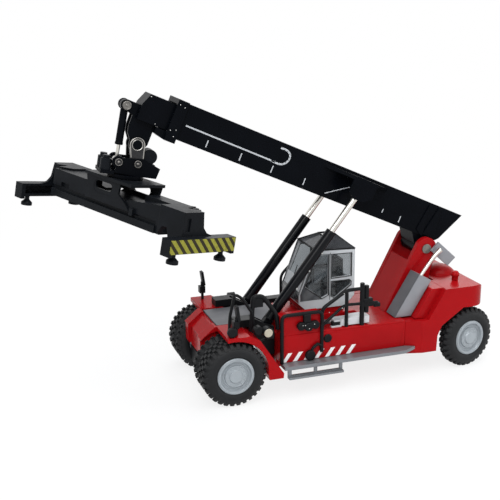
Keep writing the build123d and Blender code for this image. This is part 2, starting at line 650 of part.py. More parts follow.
# ---------------------------------------------------------------- lift cylinders
def cylinder_frame(foot, eye):
    """Angle above the X axis and length of the line from a cylinder's foot to its eye."""
    dx, dz = eye[0] - foot[0], eye[1] - foot[1]
    return degrees(atan2(dz, dx)), hypot(dx, dz)


def lift_barrel(y):
    eye = boom_point(*CYL_EYE)
    angle, _ = cylinder_frame(CYL_FOOT, eye)
    body = Rot(0, 90, 0) * Pos(0, 0, 3.6 + (BARREL_L - 3.6) / 2) * Cylinder(BARREL_R, BARREL_L - 3.6)
    lug = block(0, 4.4, -1.0, 1.0, -1.5, 1.5) + rod_y(0, 0, -1.0, 1.0, 1.5)
    body = body + lug - rod_y(0, 0, -2, 2, 0.8 + RUN_GAP)
    body -= Rot(0, 90, 0) * Pos(0, 0, 3.6 + BARREL_L / 2) * Cylinder(ROD_R + RUN_GAP, BARREL_L)
    return Pos(CYL_FOOT[0], y, CYL_FOOT[1]) * Rot(0, -angle, 0) * body


def lift_rod(y):
    eye = boom_point(*CYL_EYE)
    angle, length = cylinder_frame(CYL_FOOT, eye)
    body = Rot(0, 90, 0) * Pos(0, 0, length - ROD_L / 2) * Cylinder(ROD_R, ROD_L)
    knob = rod_y(length, 0, -1.0, 1.0, ROD_R + 0.2)
    return Pos(CYL_FOOT[0], y, CYL_FOOT[1]) * Rot(0, -angle, 0) * (body + knob)


# ---------------------------------------------------------------- yoke, damper and spreader
def head_point():
    return boom_point(*HEAD_PIN)


def on_yoke(shape):
    """Moves a piece from the yoke's own frame (origin at its tilt pin) to the machine's."""
    hx, hz = head_point()
    return Pos(hx, 0, hz) * Rot(0, TILT, 0) * shape


def on_spreader(shape):
    """Moves a piece from the spreader's own frame (origin between its feet) to the machine's."""
    return on_yoke(Pos(SLEW_X, 0, -FEET_DROP) * Rot(0, 0, SLEW) * shape)


LINK_IN_Y = HEAD_HALF_W + 0.05
YOKE_IN_Y = LINK_IN_Y + LINK_T + 0.05
YOKE_OUT_Y = YOKE_IN_Y + YOKE_T
DAMPER_PIN_R = 0.45
DAMPER_ROD_R = 0.55
DAMPER_BARREL_L = 12.4


def yoke():
    """The rotator's yoke: two side plates on a base, with the slewing ring below."""
    low = -YOKE_BOTTOM
    plate = prism([
        (DAMPER_PIN_X + 1.3, low + 0.6), (LINK_PIN_X, low + 0.1), (-7.1, low), (-8.0, low + 3.2),
        (-2.4, -4.1), (1.2, -4.3), (DAMPER_PIN_X - 1.4, -4.3),
    ], YOKE_IN_Y, YOKE_OUT_Y)
    plate += rod_y(DAMPER_PIN_X, -LINK_DROP, YOKE_IN_Y, YOKE_OUT_Y, 1.9)
    base = block(-7.0, DAMPER_PIN_X + 1.0, -YOKE_IN_Y, YOKE_IN_Y, low + 0.1, low + 1.2)
    base += block(DAMPER_PIN_X + 1.0, DAMPER_PIN_X + 5.3, -4.2, 4.2, low + 0.1, low + 1.2)
    ring = rod_z(SLEW_X, 0, low - SLEW_RING_T, low + 0.1, 5.6)
    return on_yoke(both_sides(plate) + base + ring)


def yoke_links():
    """The bright link plates from the tilt pin down into the yoke, and the bright heads of its pins."""
    outer = LINK_IN_Y + LINK_T
    link = prism([
        (-2.4, 0), (2.4, 0), (1.6, -LINK_DROP - 1.2), (-2.6, -LINK_DROP - 1.2),
    ], LINK_IN_Y, outer)
    link += rod_y(0, 0, LINK_IN_Y, outer, 2.4)
    link -= rod_y(0, 0, 0, outer + 1, TILT_PIN_R + PRESS_GAP)
    heads = []
    for x in (LINK_PIN_X, DAMPER_PIN_X):
        heads += rod_y(x, -LINK_DROP, YOKE_OUT_Y, YOKE_OUT_Y + PIN_HEAD_T, PIN_HEAD_R).solids()
    return on_yoke(both(Compound([*link.solids(), *heads])))


def tilt_pin():
    """The dark pin that the yoke tilts on, pressed into the links, and the damper's pin below."""
    tilt = rod_y(0, 0, -LINK_IN_Y - LINK_T, LINK_IN_Y + LINK_T, TILT_PIN_R)
    low = rod_y(DAMPER_PIN_X, -LINK_DROP, -YOKE_IN_Y, YOKE_IN_Y, DAMPER_PIN_R)
    return on_yoke(Compound([*tilt.solids(), *low.solids()]))


def slew_motors():
    """Two motors with their caps ahead of the yoke, and the drum on its stand behind the tilt pin."""
    floor, ahead = -YOKE_BOTTOM + 1.2, DAMPER_PIN_X + 3.6
    motor = rod_z(ahead, 2.3, floor, floor + 3.4, 1.7) + rod_z(ahead, 2.3, floor, floor + 4.4, 1.1)
    dx, dz = DRUM
    drum = rod_y(dx, dz, -2.15, 2.15, DRUM_R) + block(dx - 1.4, dx + 1.4, -1.6, 1.6, floor, dz - 1.0)
    return on_yoke(Compound([*both(motor).solids(), *drum.solids()]))


def damper_line():
    """The damper's top and bottom pins, in the machine's X and Z."""
    top = boom_point(*TOP_PIN)
    hx, hz = head_point()
    t = radians(TILT)
    low = (hx + DAMPER_PIN_X * cos(t) - LINK_DROP * sin(t), hz - DAMPER_PIN_X * sin(t) - LINK_DROP * cos(t))
    return top, low


def on_damper(shape):
    """Moves a piece from the damper's own frame (X down along it from the top pin) to the machine's."""
    top, low = damper_line()
    angle, _ = cylinder_frame(top, low)
    return Pos(top[0], 0, top[1]) * Rot(0, -angle, 0) * shape


def damper_barrel():
    """The damper's barrel hung from the head's top pin."""
    along = Rot(0, 90, 0)
    body = along * Pos(0, 0, DAMPER_BARREL_L / 2) * Cylinder(DAMPER_R, DAMPER_BARREL_L)
    body += rod_y(0, 0, -DAMPER_R, DAMPER_R, 1.6)
    body -= along * Pos(0, 0, 3.0 + DAMPER_BARREL_L / 2) * Cylinder(DAMPER_ROD_R + RUN_GAP, DAMPER_BARREL_L)
    return on_damper(body - rod_y(0, 0, -3, 3, TOP_PIN_R + RUN_GAP))


def damper_rod():
    """The damper's rod, with an eye loose enough round its pin for the whole tilt."""
    _, length = cylinder_frame(*damper_line())
    body = Rot(0, 90, 0) * Pos(0, 0, length - 5.5) * Cylinder(DAMPER_ROD_R, 11.0)
    body += rod_y(length, 0, -0.9, 0.9, 1.3)
    return on_damper(body - rod_y(length, 0, -2, 2, DAMPER_PIN_R + 0.4))


FRAME_TOP = FEET_DROP - YOKE_BOTTOM - SLEW_RING_T - 0.2
SLIDER_X = (0.55, BEAM_HALF_W - 1.3)
SLIDER_Z = (BEAM_Z0 + 0.9, FRAME_FLOOR_Z - 0.9)


def spreader_beam():
    """The long box in two halves side by side, each with the channel of one telescopic arm."""
    w, z0, z1 = BEAM_HALF_W, BEAM_Z0, BEAM_Z1
    end = ARM_START_Y - ARM_GAP
    half = cross_prism([
        (-BEAM_HALF_L, z0), (-BEAM_HALF_L, z1), (-FRAME_LONG_Y, z1), (-FRAME_LONG_Y, FRAME_FLOOR_Z),
        (8.4, FRAME_FLOOR_Z), (8.4, z1 - 2.0), (end, z1), (end, z0),
    ], 0, w)
    half -= block(-0.1, ARM_GAP - ARM_SIDE_X, -BEAM_HALF_L - 1, -end, z0 - 1, z1 + 1)
    channel_x = (SLIDER_X[0] - ARM_GAP, SLIDER_X[1] + ARM_GAP)
    half -= block(*channel_x, -BEAM_HALF_L - 1, end + 1, SLIDER_Z[0] - ARM_GAP, SLIDER_Z[1] + ARM_GAP)
    half -= block(w - GROOVE_DEPTH, w + 1, -BEAM_HALF_L - 1, GROOVE_END_Y, FLANGE_Z, GROOVE_Z)
    half += block(w, w + 0.5, -BEAM_HALF_L, GROOVE_END_Y, z0, FLANGE_Z)
    half -= block(w - 0.9, w + 1, -24.2, -20.0, GROOVE_Z - 0.1, GROOVE_Z + 1.4)
    half += block(w, w + 0.9, 11.0, 12.6, GROOVE_Z - 0.9, GROOVE_Z + 1.3)
    return on_spreader(half + far_end(half))


def spreader_frame():
    """The raised centre frame: two windowed side plates, each cut back at one end, under a top plate."""
    top = FRAME_TOP - FRAME_TOP_T
    foot = GROOVE_Z
    side = cross_prism([
        (-FRAME_LONG_Y, foot), (-FRAME_LONG_Y, top - 2.4), (-FRAME_LONG_Y - 0.6, top),
        (FRAME_SHORT_Y + 0.6, top), (FRAME_SHORT_Y, top - 2.4), (FRAME_SHORT_Y, 12.9), (8.6, 10.8),
        (10.6, foot),
    ], BEAM_HALF_W, FRAME_HALF_W)
    side -= cross_prism([
        (-6.9, 11.4), (-6.9, top - 1.0), (3.1, top - 1.0), (3.1, 11.4),
    ], BEAM_HALF_W - 1, FRAME_HALF_W + 1, 1.6)
    roof_x, roof_y = FRAME_HALF_W + 0.7, FRAME_LONG_Y + 0.8
    roof = block(-roof_x, roof_x, -roof_y, roof_y, top, FRAME_TOP)
    return on_spreader(side + far_end(side) + roof)


def end_beam():
    """One telescopic end: its slider, its flared head and the cross beam, open on the inside."""
    slider = block(*SLIDER_X, -24.0, ARM_START_Y + 1, *SLIDER_Z)
    y0, y1 = CROSS_Y
    head = cross_prism([
        (ARM_START_Y, ARM_TOP_Z), (y0 + 1.0, ARM_TOP_Z), (y0 + 1.0, BEAM_Z0), (29.4, BEAM_Z0), (28.3, 8.7),
        (26.4, 8.6), (ARM_START_Y, BEAM_Z0 + 0.6),
    ], ARM_SIDE_X, ARM_FRONT_X)
    plate = prism([
        (ARM_FRONT_X, ARM_TOP_Z), (ARM_SIDE_X, ARM_TOP_Z), (ARM_SIDE_X - 0.8, 9.9), (ARM_SIDE_X - 2.3, 8.3),
        (ARM_SIDE_X - 4.6, CROSS_Z1), (ARM_FRONT_X, CROSS_Z1),
    ], y0, y0 + 1.0)
    cross = block(-CROSS_HALF_L, CROSS_HALF_L, y0, y1, CROSS_Z0, CROSS_Z1)
    cross -= block(1.4 - CROSS_HALF_L, CROSS_HALF_L - 1.4, y0 - 1, y1 - 0.9, CROSS_Z0 + 0.9, CROSS_Z1 - 0.7)
    for x in (-CROSS_HALF_L, CROSS_HALF_L - 1.4):
        cross += block(x, x + 1.4, y0, y1, CROSS_Z0 - 0.8, CROSS_Z1)
    prongs = slab([
        (ARM_FRONT_X, ARM_START_Y), (ARM_FRONT_X, y0 + 1.0), (ARM_SIDE_X, y0 + 1.0), (ARM_SIDE_X, 33.0),
        (-2.6, 32.2),
        (ARM_SIDE_X + 1.4, 30.6), (ARM_SIDE_X + 1.4, 29.6), (-4.2, 28.3), (ARM_SIDE_X, ARM_START_Y),
    ], ARM_TOP_Z, ARM_TOP_Z + 0.4)
    shape = slider + head + plate + cross + prongs
    return shape - block(3.8, 5.4, y0 + 0.5, y0 + 2, GROOVE_Z, BEAM_Z1 - 1.2)


def twistlocks():
    """The pair of locking feet under one cross beam."""
    shape = []
    for x in (-FEET_X, FEET_X):
        cone = Pos(x, FEET_Y, FOOT_T + 0.5) * Cone(FOOT_R, FOOT_SHAFT_R, 1.0)
        foot = rod_z(x, FEET_Y, FOOT_T, CROSS_Z0, FOOT_SHAFT_R) + rod_z(x, FEET_Y, 0, FOOT_T, FOOT_R) + cone
        shape += foot.solids()
    return Compound(shape)


def far_end(shape):
    """The same end piece at the spreader's other end."""
    return Rot(0, 0, 180) * shape


# ---------------------------------------------------------------- all pieces by node name
def build():
    tyres, hub = front_wheel()
    rear_tyre, rear_hub = rear_wheel()
    rear_place = Pos(-WHEELBASE, REAR_FACE_Y, TYRE_R)
    fenders = both(fender())
    parts = {
        "chassis_frame": chassis_frame(),
        "nose": nose(),
        "front_fenders": fenders,
        "counterweight": counterweight(),
        "engine_hood": engine_hood(),
        "tower": tower(),
        "pivot_pin": pivot_pin(),
        "deck_plates": deck_plates(),
        "cylinder_mounts": cylinder_mounts(),
        "axle_front": axle_front(),
        "axle_rear": axle_rear(),
        "running_boards": running_boards(),
        "cab_body": cab_body(),
        "cab_roof": cab_roof(),
        "cab_glazing": cab_glazing(),
        "cab_interior": cab_interior(),
        "cab_guard": cab_guard(),
        "handrails": handrails(),
        "front_lamps": front_lamps(),
        "toolboxes": toolboxes(),
        "exhaust": exhaust(),
        "exhaust_pipe": exhaust_pipe(),
        "tyres_front_left": place_front(tyres),
        "rim_front_left": place_front(hub),
        "tyres_front_right": mirrored(place_front(tyres)),
        "rim_front_right": mirrored(place_front(hub)),
        "knuckle_left": steered(knuckle(), 1),
        "knuckle_right": steered(mirrored(knuckle()), -1),
        "tyre_rear_left": steered(rear_place * rear_tyre, 1),
        "rim_rear_left": steered(rear_place * rear_hub, 1),
        "tyre_rear_right": steered(mirrored(rear_place * rear_tyre), -1),
        "rim_rear_right": steered(mirrored(rear_place * rear_hub), -1),
        "boom_outer": boom_outer(),
        "boom_inner": boom_inner(),
        "boom_head": boom_head(),
        "head_pins": head_pins(),
        "lift_barrel_left": lift_barrel(CYL_Y),
        "lift_barrel_right": lift_barrel(-CYL_Y),
        "lift_rod_left": lift_rod(CYL_Y),
        "lift_rod_right": lift_rod(-CYL_Y),
        "yoke": yoke(),
        "yoke_links": yoke_links(),
        "tilt_pin": tilt_pin(),
        "slew_motors": slew_motors(),
        "damper_barrel": damper_barrel(),
        "damper_rod": damper_rod(),
        "spreader_beam": spreader_beam(),
        "spreader_frame": spreader_frame(),
        "end_beam_left": on_spreader(end_beam()),
        "end_beam_right": on_spreader(far_end(end_beam())),
        "twistlocks_left": on_spreader(twistlocks()),
        "twistlocks_right": on_spreader(far_end(twistlocks())),
    }
    return parts


PARTS = build()
WHOLE = Compound([solid for shape in PARTS.values() for solid in shape.solids()]).bounding_box()
SHIFT = (-(WHOLE.min.X + WHOLE.max.X) / 2, -(WHOLE.min.Y + WHOLE.max.Y) / 2, -WHOLE.min.Z)

os.makedirs("parts", exist_ok=True)
for name, shape in PARTS.items():
    export_step(Pos(*SHIFT) * shape, f"parts/{name}.step")
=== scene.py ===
import json
from math import cos, pi, radians, sin

import bmesh
import bpy
from mathutils import Matrix, Vector


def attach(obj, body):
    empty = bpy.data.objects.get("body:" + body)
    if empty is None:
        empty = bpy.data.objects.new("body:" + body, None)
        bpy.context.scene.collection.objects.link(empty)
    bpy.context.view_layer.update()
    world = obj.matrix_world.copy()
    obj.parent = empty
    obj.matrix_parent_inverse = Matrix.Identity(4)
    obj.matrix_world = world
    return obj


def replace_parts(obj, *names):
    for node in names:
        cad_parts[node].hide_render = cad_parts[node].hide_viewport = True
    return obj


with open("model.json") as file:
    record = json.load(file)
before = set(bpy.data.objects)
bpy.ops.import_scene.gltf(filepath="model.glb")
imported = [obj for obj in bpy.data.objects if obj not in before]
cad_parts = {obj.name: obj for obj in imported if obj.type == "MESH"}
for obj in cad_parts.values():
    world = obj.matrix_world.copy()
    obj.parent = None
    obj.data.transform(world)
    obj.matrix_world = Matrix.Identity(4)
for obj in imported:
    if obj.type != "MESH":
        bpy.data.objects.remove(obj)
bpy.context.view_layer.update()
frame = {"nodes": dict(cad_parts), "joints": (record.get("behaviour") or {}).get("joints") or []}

MM = 0.001
JOINTS = {j["name"]: j for j in frame["joints"]}
SIDES = (("left", 1), ("right", -1))


# ---- frames the pieces are placed in
class Place:
    """An origin with three axes; at(u, v, w), in millimetres, gives a point in the row frame."""

    def __init__(self, origin, x_axis, y_axis):
        self.origin = Vector(origin)
        self.x = Vector(x_axis).normalized()
        self.y = Vector(y_axis).normalized()
        self.z = self.x.cross(self.y)

    def at(self, u, v, w):
        return self.origin + (self.x * u + self.y * v + self.z * w) * MM

    def moved(self, u, v, w):
        """The same frame with its origin at another point of it."""
        return Place(self.at(u, v, w), self.x, self.y)


TYRE_R = 10.65
# X forwards, Y to the left and Z up, from the floor below the front axle.
wheel = Vector(JOINTS["wheel_front_left_spin"]["pos_m"])
MACHINE = Place((wheel.x, 0, wheel.z - TYRE_R * MM), (1, 0, 0), (0, 1, 0))
# Along the boom from its pivot.
BOOM = Place(JOINTS["boom_lift"]["pos_m"], JOINTS["boom_extend"]["axis"], (0, 1, 0))
# Z along the slewing axis, from the tilting pin or from the slewing joint.
slew_z = Vector(JOINTS["spreader_slew"]["axis"])
YOKE = Place(JOINTS["yoke_tilt"]["pos_m"], Vector((0, 1, 0)).cross(slew_z), (0, 1, 0))
spread_y = Vector(JOINTS["end_left_slide"]["axis"])
SPREADER = Place(JOINTS["spreader_slew"]["pos_m"], spread_y.cross(slew_z), spread_y)
FAR_SPREADER = Place(SPREADER.origin, -SPREADER.x, -SPREADER.y)
# Along each lift cylinder from its foot, and along the damper from its barrel's pin.
foot = Vector(JOINTS["lift_barrel_left_turn"]["pos_m"])
LIFT = {
    side: Place((foot.x, foot.y * sign, foot.z), JOINTS["lift_rod_left_slide"]["axis"], (0, 1, 0))
    for side, sign in SIDES
}
DAMPER = Place(JOINTS["damper_barrel_turn"]["pos_m"], JOINTS["damper_rod_slide"]["axis"], (0, 1, 0))


def wheel_place(body, outward):
    """A wheel's frame: Y along its axle, outwards."""
    joint = JOINTS[f"{body}_spin"]
    axis = Vector(joint["axis"]) * outward
    return Place(joint["pos_m"], Vector((0, 0, 1)).cross(axis) * -1, axis)


# ---- camera
CAMERA_SPOT = (84.8, 286.1, 131.1)
AZIMUTH, ELEVATION, ROLL = radians(18.83), radians(15.9), radians(-0.53)
SENSOR_MM, LENS_MM = 36, 68.08
NEAREST_M, FARTHEST_M = 0.01, 50


def add_camera():
    """The camera at the machine's left, ahead of it and a little above."""
    back = Vector((sin(AZIMUTH) * cos(ELEVATION), cos(AZIMUTH) * cos(ELEVATION), sin(ELEVATION)))
    level_right = Vector((-cos(AZIMUTH), sin(AZIMUTH), 0))
    level_up = back.cross(level_right)
    right = level_right * cos(ROLL) + level_up * sin(ROLL)
    up = level_up * cos(ROLL) - level_right * sin(ROLL)
    data = bpy.data.cameras.new("camera")
    data.sensor_width = SENSOR_MM
    data.lens = LENS_MM
    data.clip_start = NEAREST_M
    data.clip_end = FARTHEST_M
    camera = bpy.data.objects.new("camera", data)
    turn = Matrix((right, up, back)).transposed().to_4x4()
    camera.matrix_world = Matrix.Translation(MACHINE.at(*CAMERA_SPOT)) @ turn
    bpy.context.scene.collection.objects.link(camera)
    bpy.context.scene.camera = camera


# ---- materials
TONE_STOPS = (0.3, 0.7)
COAT_ROUGHNESS = 0.08
ROUGHNESS_SPREAD, LEAST_ROUGHNESS = 0.06, 0.02
RELIEF_DEPTH_M = 0.0002
EDGE_SAMPLES = 6
GLOSS_PATCH_SHARE = 2.3
CLEAR_TONE_SCALE, CLEAR_VARIATION = 120.0, 0.08
CLEAR_IOR, CLEAR_COAT, CLEAR_COAT_ROUGHNESS = 1.1, 0.6, 0.05


def new_surface(name):
    """A new material with a plain Principled surface; returns it, its tree and the shader node."""
    mat = bpy.data.materials.new(name)
    mat.use_nodes = True
    tree = mat.node_tree
    return mat, tree, tree.nodes["Principled BSDF"]


def set_inputs(node, values):
    """Sets a node's inputs by name."""
    for name, value in values.items():
        node.inputs[name].default_value = value


def new_node(tree, kind, values):
    """A new shader node with the inputs named in values."""
    node = tree.nodes.new(f"ShaderNode{kind}")
    set_inputs(node, values)
    return node


def noise(tree, coord, scale, detail=2.0):
    """A noise value over the piece's own coordinates."""
    node = new_node(tree, "TexNoise", {"Scale": scale, "Detail": detail})
    tree.links.new(coord, node.inputs["Vector"])
    return node.outputs["Fac"]


def shade(colour, factor):
    """A darker or lighter tone of a colour, with full alpha."""
    return (*(min(1.0, c * factor) for c in colour), 1)


def patchy(tree, value, colour, variation):
    """A colour that goes from a darker to a lighter tone with a value."""
    node = tree.nodes.new("ShaderNodeValToRGB")
    tones = (shade(colour, 1 - variation), shade(colour, 1 + variation))
    for element, position, tone in zip(node.color_ramp.elements, TONE_STOPS, tones):
        element.position = position
        element.color = tone
    tree.links.new(value, node.inputs["Fac"])
    return node.outputs["Color"]


def finish(name, colour, rough, metallic=0.0, specular=0.5, coat=0.0, variation=0.08, patch=160.0,
           bump=0.02, grain=2500.0, edge=0.00012):
    """A paint, plastic or metal: patchy tone, uneven gloss, fine grain and softened edges."""
    mat, tree, bsdf = new_surface(name)
    coord = new_node(tree, "TexCoord", {}).outputs["Object"]
    tone = noise(tree, coord, patch, 3.0)
    tree.links.new(patchy(tree, tone, colour, variation), bsdf.inputs["Base Color"])
    least = max(LEAST_ROUGHNESS, rough - ROUGHNESS_SPREAD)
    spread = new_node(tree, "MapRange", {"To Min": least, "To Max": rough + ROUGHNESS_SPREAD})
    tree.links.new(noise(tree, coord, patch * GLOSS_PATCH_SHARE), spread.inputs["Value"])
    tree.links.new(spread.outputs["Result"], bsdf.inputs["Roughness"])
    set_inputs(bsdf, {
        "Metallic": metallic, "Specular IOR Level": specular, "Coat Weight": coat,
        "Coat Roughness": COAT_ROUGHNESS,
    })
    relief = new_node(tree, "Bump", {"Strength": bump, "Distance": RELIEF_DEPTH_M})
    tree.links.new(noise(tree, coord, grain), relief.inputs["Height"])
    if edge:
        soft = new_node(tree, "Bevel", {"Radius": edge})
        soft.samples = EDGE_SAMPLES
        tree.links.new(soft.outputs["Normal"], relief.inputs["Normal"])
    tree.links.new(relief.outputs["Normal"], bsdf.inputs["Normal"])
    return mat


def clear_finish(name, colour, rough, transmission):
    """A thin clear plastic with a faintly patchy tone."""
    mat, tree, bsdf = new_surface(name)
    tone = noise(tree, new_node(tree, "TexCoord", {}).outputs["Object"], CLEAR_TONE_SCALE)
    tree.links.new(patchy(tree, tone, colour, CLEAR_VARIATION), bsdf.inputs["Base Color"])
    set_inputs(bsdf, {
        "Roughness": rough, "Transmission Weight": transmission, "IOR": CLEAR_IOR,
        "Coat Weight": CLEAR_COAT, "Coat Roughness": CLEAR_COAT_ROUGHNESS,
    })
    return mat


MATS = {
    # Glossy and satin paints, and the grey deck.
    "red": finish("red_gloss", (0.315, 0.004, 0.006), 0.22, specular=0.07, variation=0.05, bump=0.03,
                  edge=0.0002),
    "black": finish("black_gloss", (0.0022, 0.0028, 0.0042), 0.25, specular=0.035, variation=0.12,
                    bump=0.03),
    "barrel": finish("barrel_gloss", (0.0028, 0.0032, 0.0045), 0.16, specular=0.12, coat=0.04,
                     variation=0.1),
    "slate": finish("slate_satin", (0.0055, 0.0066, 0.0085), 0.36, specular=0.07, variation=0.15,
                    bump=0.06, grain=1600),
    "deck": finish("deck_grey", (0.09, 0.093, 0.102), 0.5, specular=0.3, variation=0.12, bump=0.1,
                   grain=1400),
    "cab": finish("cab_silver", (0.44, 0.46, 0.48), 0.4, specular=0.4, variation=0.03, bump=0.05),
    "silver": finish("silver_paint", (0.30, 0.33, 0.355), 0.42, metallic=0.25, specular=0.4,
                     variation=0.05, bump=0.06, grain=3000),
    "board": finish("board_silver", (0.18, 0.19, 0.205), 0.38, metallic=0.45, specular=0.4, bump=0.06),
    "duct": finish("duct_silver", (0.24, 0.25, 0.27), 0.36, metallic=0.3, specular=0.4, variation=0.06,
                   bump=0.06),
    # Bare metal, from bright nickel to worn steel.
    "nickel": finish("nickel", (0.66, 0.645, 0.60), 0.2, metallic=1.0, variation=0.05, bump=0.03,
                     edge=0.00006),
    "pin": finish("pin_steel", (0.19, 0.183, 0.172), 0.34, metallic=1.0, variation=0.15, patch=500.0,
                  bump=0.08),
    "rim": finish("link_rim_steel", (0.36, 0.35, 0.33), 0.28, metallic=1.0, variation=0.12, bump=0.05,
                  edge=0.00006),
    "link": finish("worn_link_steel", (0.045, 0.045, 0.047), 0.3, metallic=1.0, variation=0.22,
                   patch=500.0, bump=0.12, grain=1500),
    "screw": finish("screw_steel", (0.55, 0.55, 0.53), 0.3, metallic=1.0, variation=0.1, bump=0.05,
                    edge=0),
    # Moulded black and pale plastic, rubber, dark panes and the clear cab.
    "dark": finish("black_moulded", (0.005, 0.0055, 0.0065), 0.4, specular=0.12, variation=0.15,
                   bump=0.08, grain=1800),
    "rubber": finish("tyre_rubber", (0.0062, 0.0068, 0.0078), 0.6, specular=0.25, variation=0.18,
                     patch=300.0, bump=0.12, grain=1500, edge=0.00015),
    "pale": finish("pale_boxes", (0.52, 0.53, 0.55), 0.45, variation=0.05, bump=0.05),
    "seat": finish("seat_black", (0.010, 0.010, 0.011), 0.6, specular=0.3, variation=0.2, bump=0.2,
                   grain=1200),
    "gasket": finish("window_gasket", (0.02, 0.021, 0.022), 0.5, specular=0.2, variation=0.1, edge=0),
    "lamp": finish("lamp_lens", (0.40, 0.36, 0.28), 0.25, coat=0.4, variation=0.06, bump=0.05),
    "pane": finish("dark_pane", (0.05, 0.054, 0.06), 0.12, variation=0.25, patch=300.0, bump=0.01,
                   edge=0),
    "roof": clear_finish("smoked_clear", (0.10, 0.105, 0.115), 0.12, 0.45),
    "glass": clear_finish("cab_clear", (0.25, 0.27, 0.285), 0.04, 0.92),
    # The printed stripes and marks, and the grey of a painted highlight.
    "white": finish("white_print", (0.80, 0.78, 0.78), 0.45, specular=0.3, variation=0.03, edge=0),
    # Grey print for the boom's marks, also used for the painted highlight along the bracket edges.
    "print_and_highlight": finish("grey_print_and_highlight", (0.42, 0.44, 0.46), 0.5, specular=0.3, variation=0.05, edge=0),
    "yellow": finish("yellow_print", (0.24, 0.232, 0.024), 0.45, specular=0.2, variation=0.1, patch=900.0,
                     edge=0),
    "stripe": finish("dark_print", (0.018, 0.014, 0.003), 0.45, specular=0.2, variation=0.1, edge=0),
}
NODE_MATS = {
    "red": ("chassis_frame", "nose", "front_fenders", "counterweight", "engine_hood", "tower"),
    "black": ("boom_outer", "boom_inner", "boom_head", "yoke"),
    "barrel": ("lift_barrel_left", "lift_barrel_right"),
    "slate": ("spreader_beam", "spreader_frame", "end_beam_left", "end_beam_right", "twistlocks_left",
              "twistlocks_right", "slew_motors"),
    "dark": ("cylinder_mounts", "axle_front", "axle_rear", "cab_guard", "handrails", "front_lamps",
             "knuckle_left", "knuckle_right", "damper_barrel", "tilt_pin"),
    "deck": ("deck_plates",),
    "cab": ("cab_body",),
    "silver": ("rim_front_left", "rim_front_right", "rim_rear_left", "rim_rear_right"),
    "board": ("running_boards",),
    "duct": ("exhaust",),
    "pin": ("head_pins", "pivot_pin"),
    "nickel": ("lift_rod_left", "lift_rod_right", "damper_rod", "exhaust_pipe"),
    "link": ("yoke_links",),
    "rubber": ("tyres_front_left", "tyres_front_right", "tyre_rear_left", "tyre_rear_right"),
    "pale": ("toolboxes",),
    "seat": ("cab_interior",),
    "roof": ("cab_roof",),
    "glass": ("cab_glazing",),
}


def dress_nodes():
    """Gives every CAD node its finish."""
    for key, names in NODE_MATS.items():
        for name in names:
            slots = frame["nodes"][name].data.materials
            if len(slots) == 0:
                slots.append(MATS[key])
            for i in range(len(slots)):
                slots[i] = MATS[key]


# ---- mesh helpers
STROKE_OVERLAP = 0.05
WELD_M = 1e-7
BEVEL_ANGLE = radians(35)
LEG_DIVISOR = 2.1
SCREW_HEIGHT = 0.14


def in_order(axis, a, b, depth):
    """Two flat coordinates and a depth along an axis, as (u, v, w)."""
    return {"y": (a, depth, b), "z": (a, b, depth), "x": (depth, a, b)}[axis]


def depths(sign, low, high):
    """Two distances from the middle, as depths on the left (1) or the right (-1), in rising order."""
    return tuple(sorted((sign * low, sign * high)))


def circle(radius, steps, centre=(0, 0)):
    """The points of a circle; the first two come again, so that a tube along them closes."""
    angles = [2 * pi * k / steps for k in range(steps + 2)]
    return [(centre[0] + radius * cos(a), centre[1] + radius * sin(a)) for a in angles]


def bent(place, route, radius, steps=6):
    """Points of the row frame along a route of one frame, with its corners rounded."""
    points = [place.at(*p) for p in route]
    out = [points[0]]
    for a, b, c in zip(points, points[1:], points[2:]):
        reach = min(radius * MM, (a - b).length / LEG_DIVISOR, (c - b).length / LEG_DIVISOR)
        start = b + (a - b).normalized() * reach
        end = b + (c - b).normalized() * reach
        for i in range(steps + 1):
            t = i / steps
            out.append(start * (1 - t) ** 2 + b * (2 * t * (1 - t)) + end * t ** 2)
    out.append(points[-1])
    return out


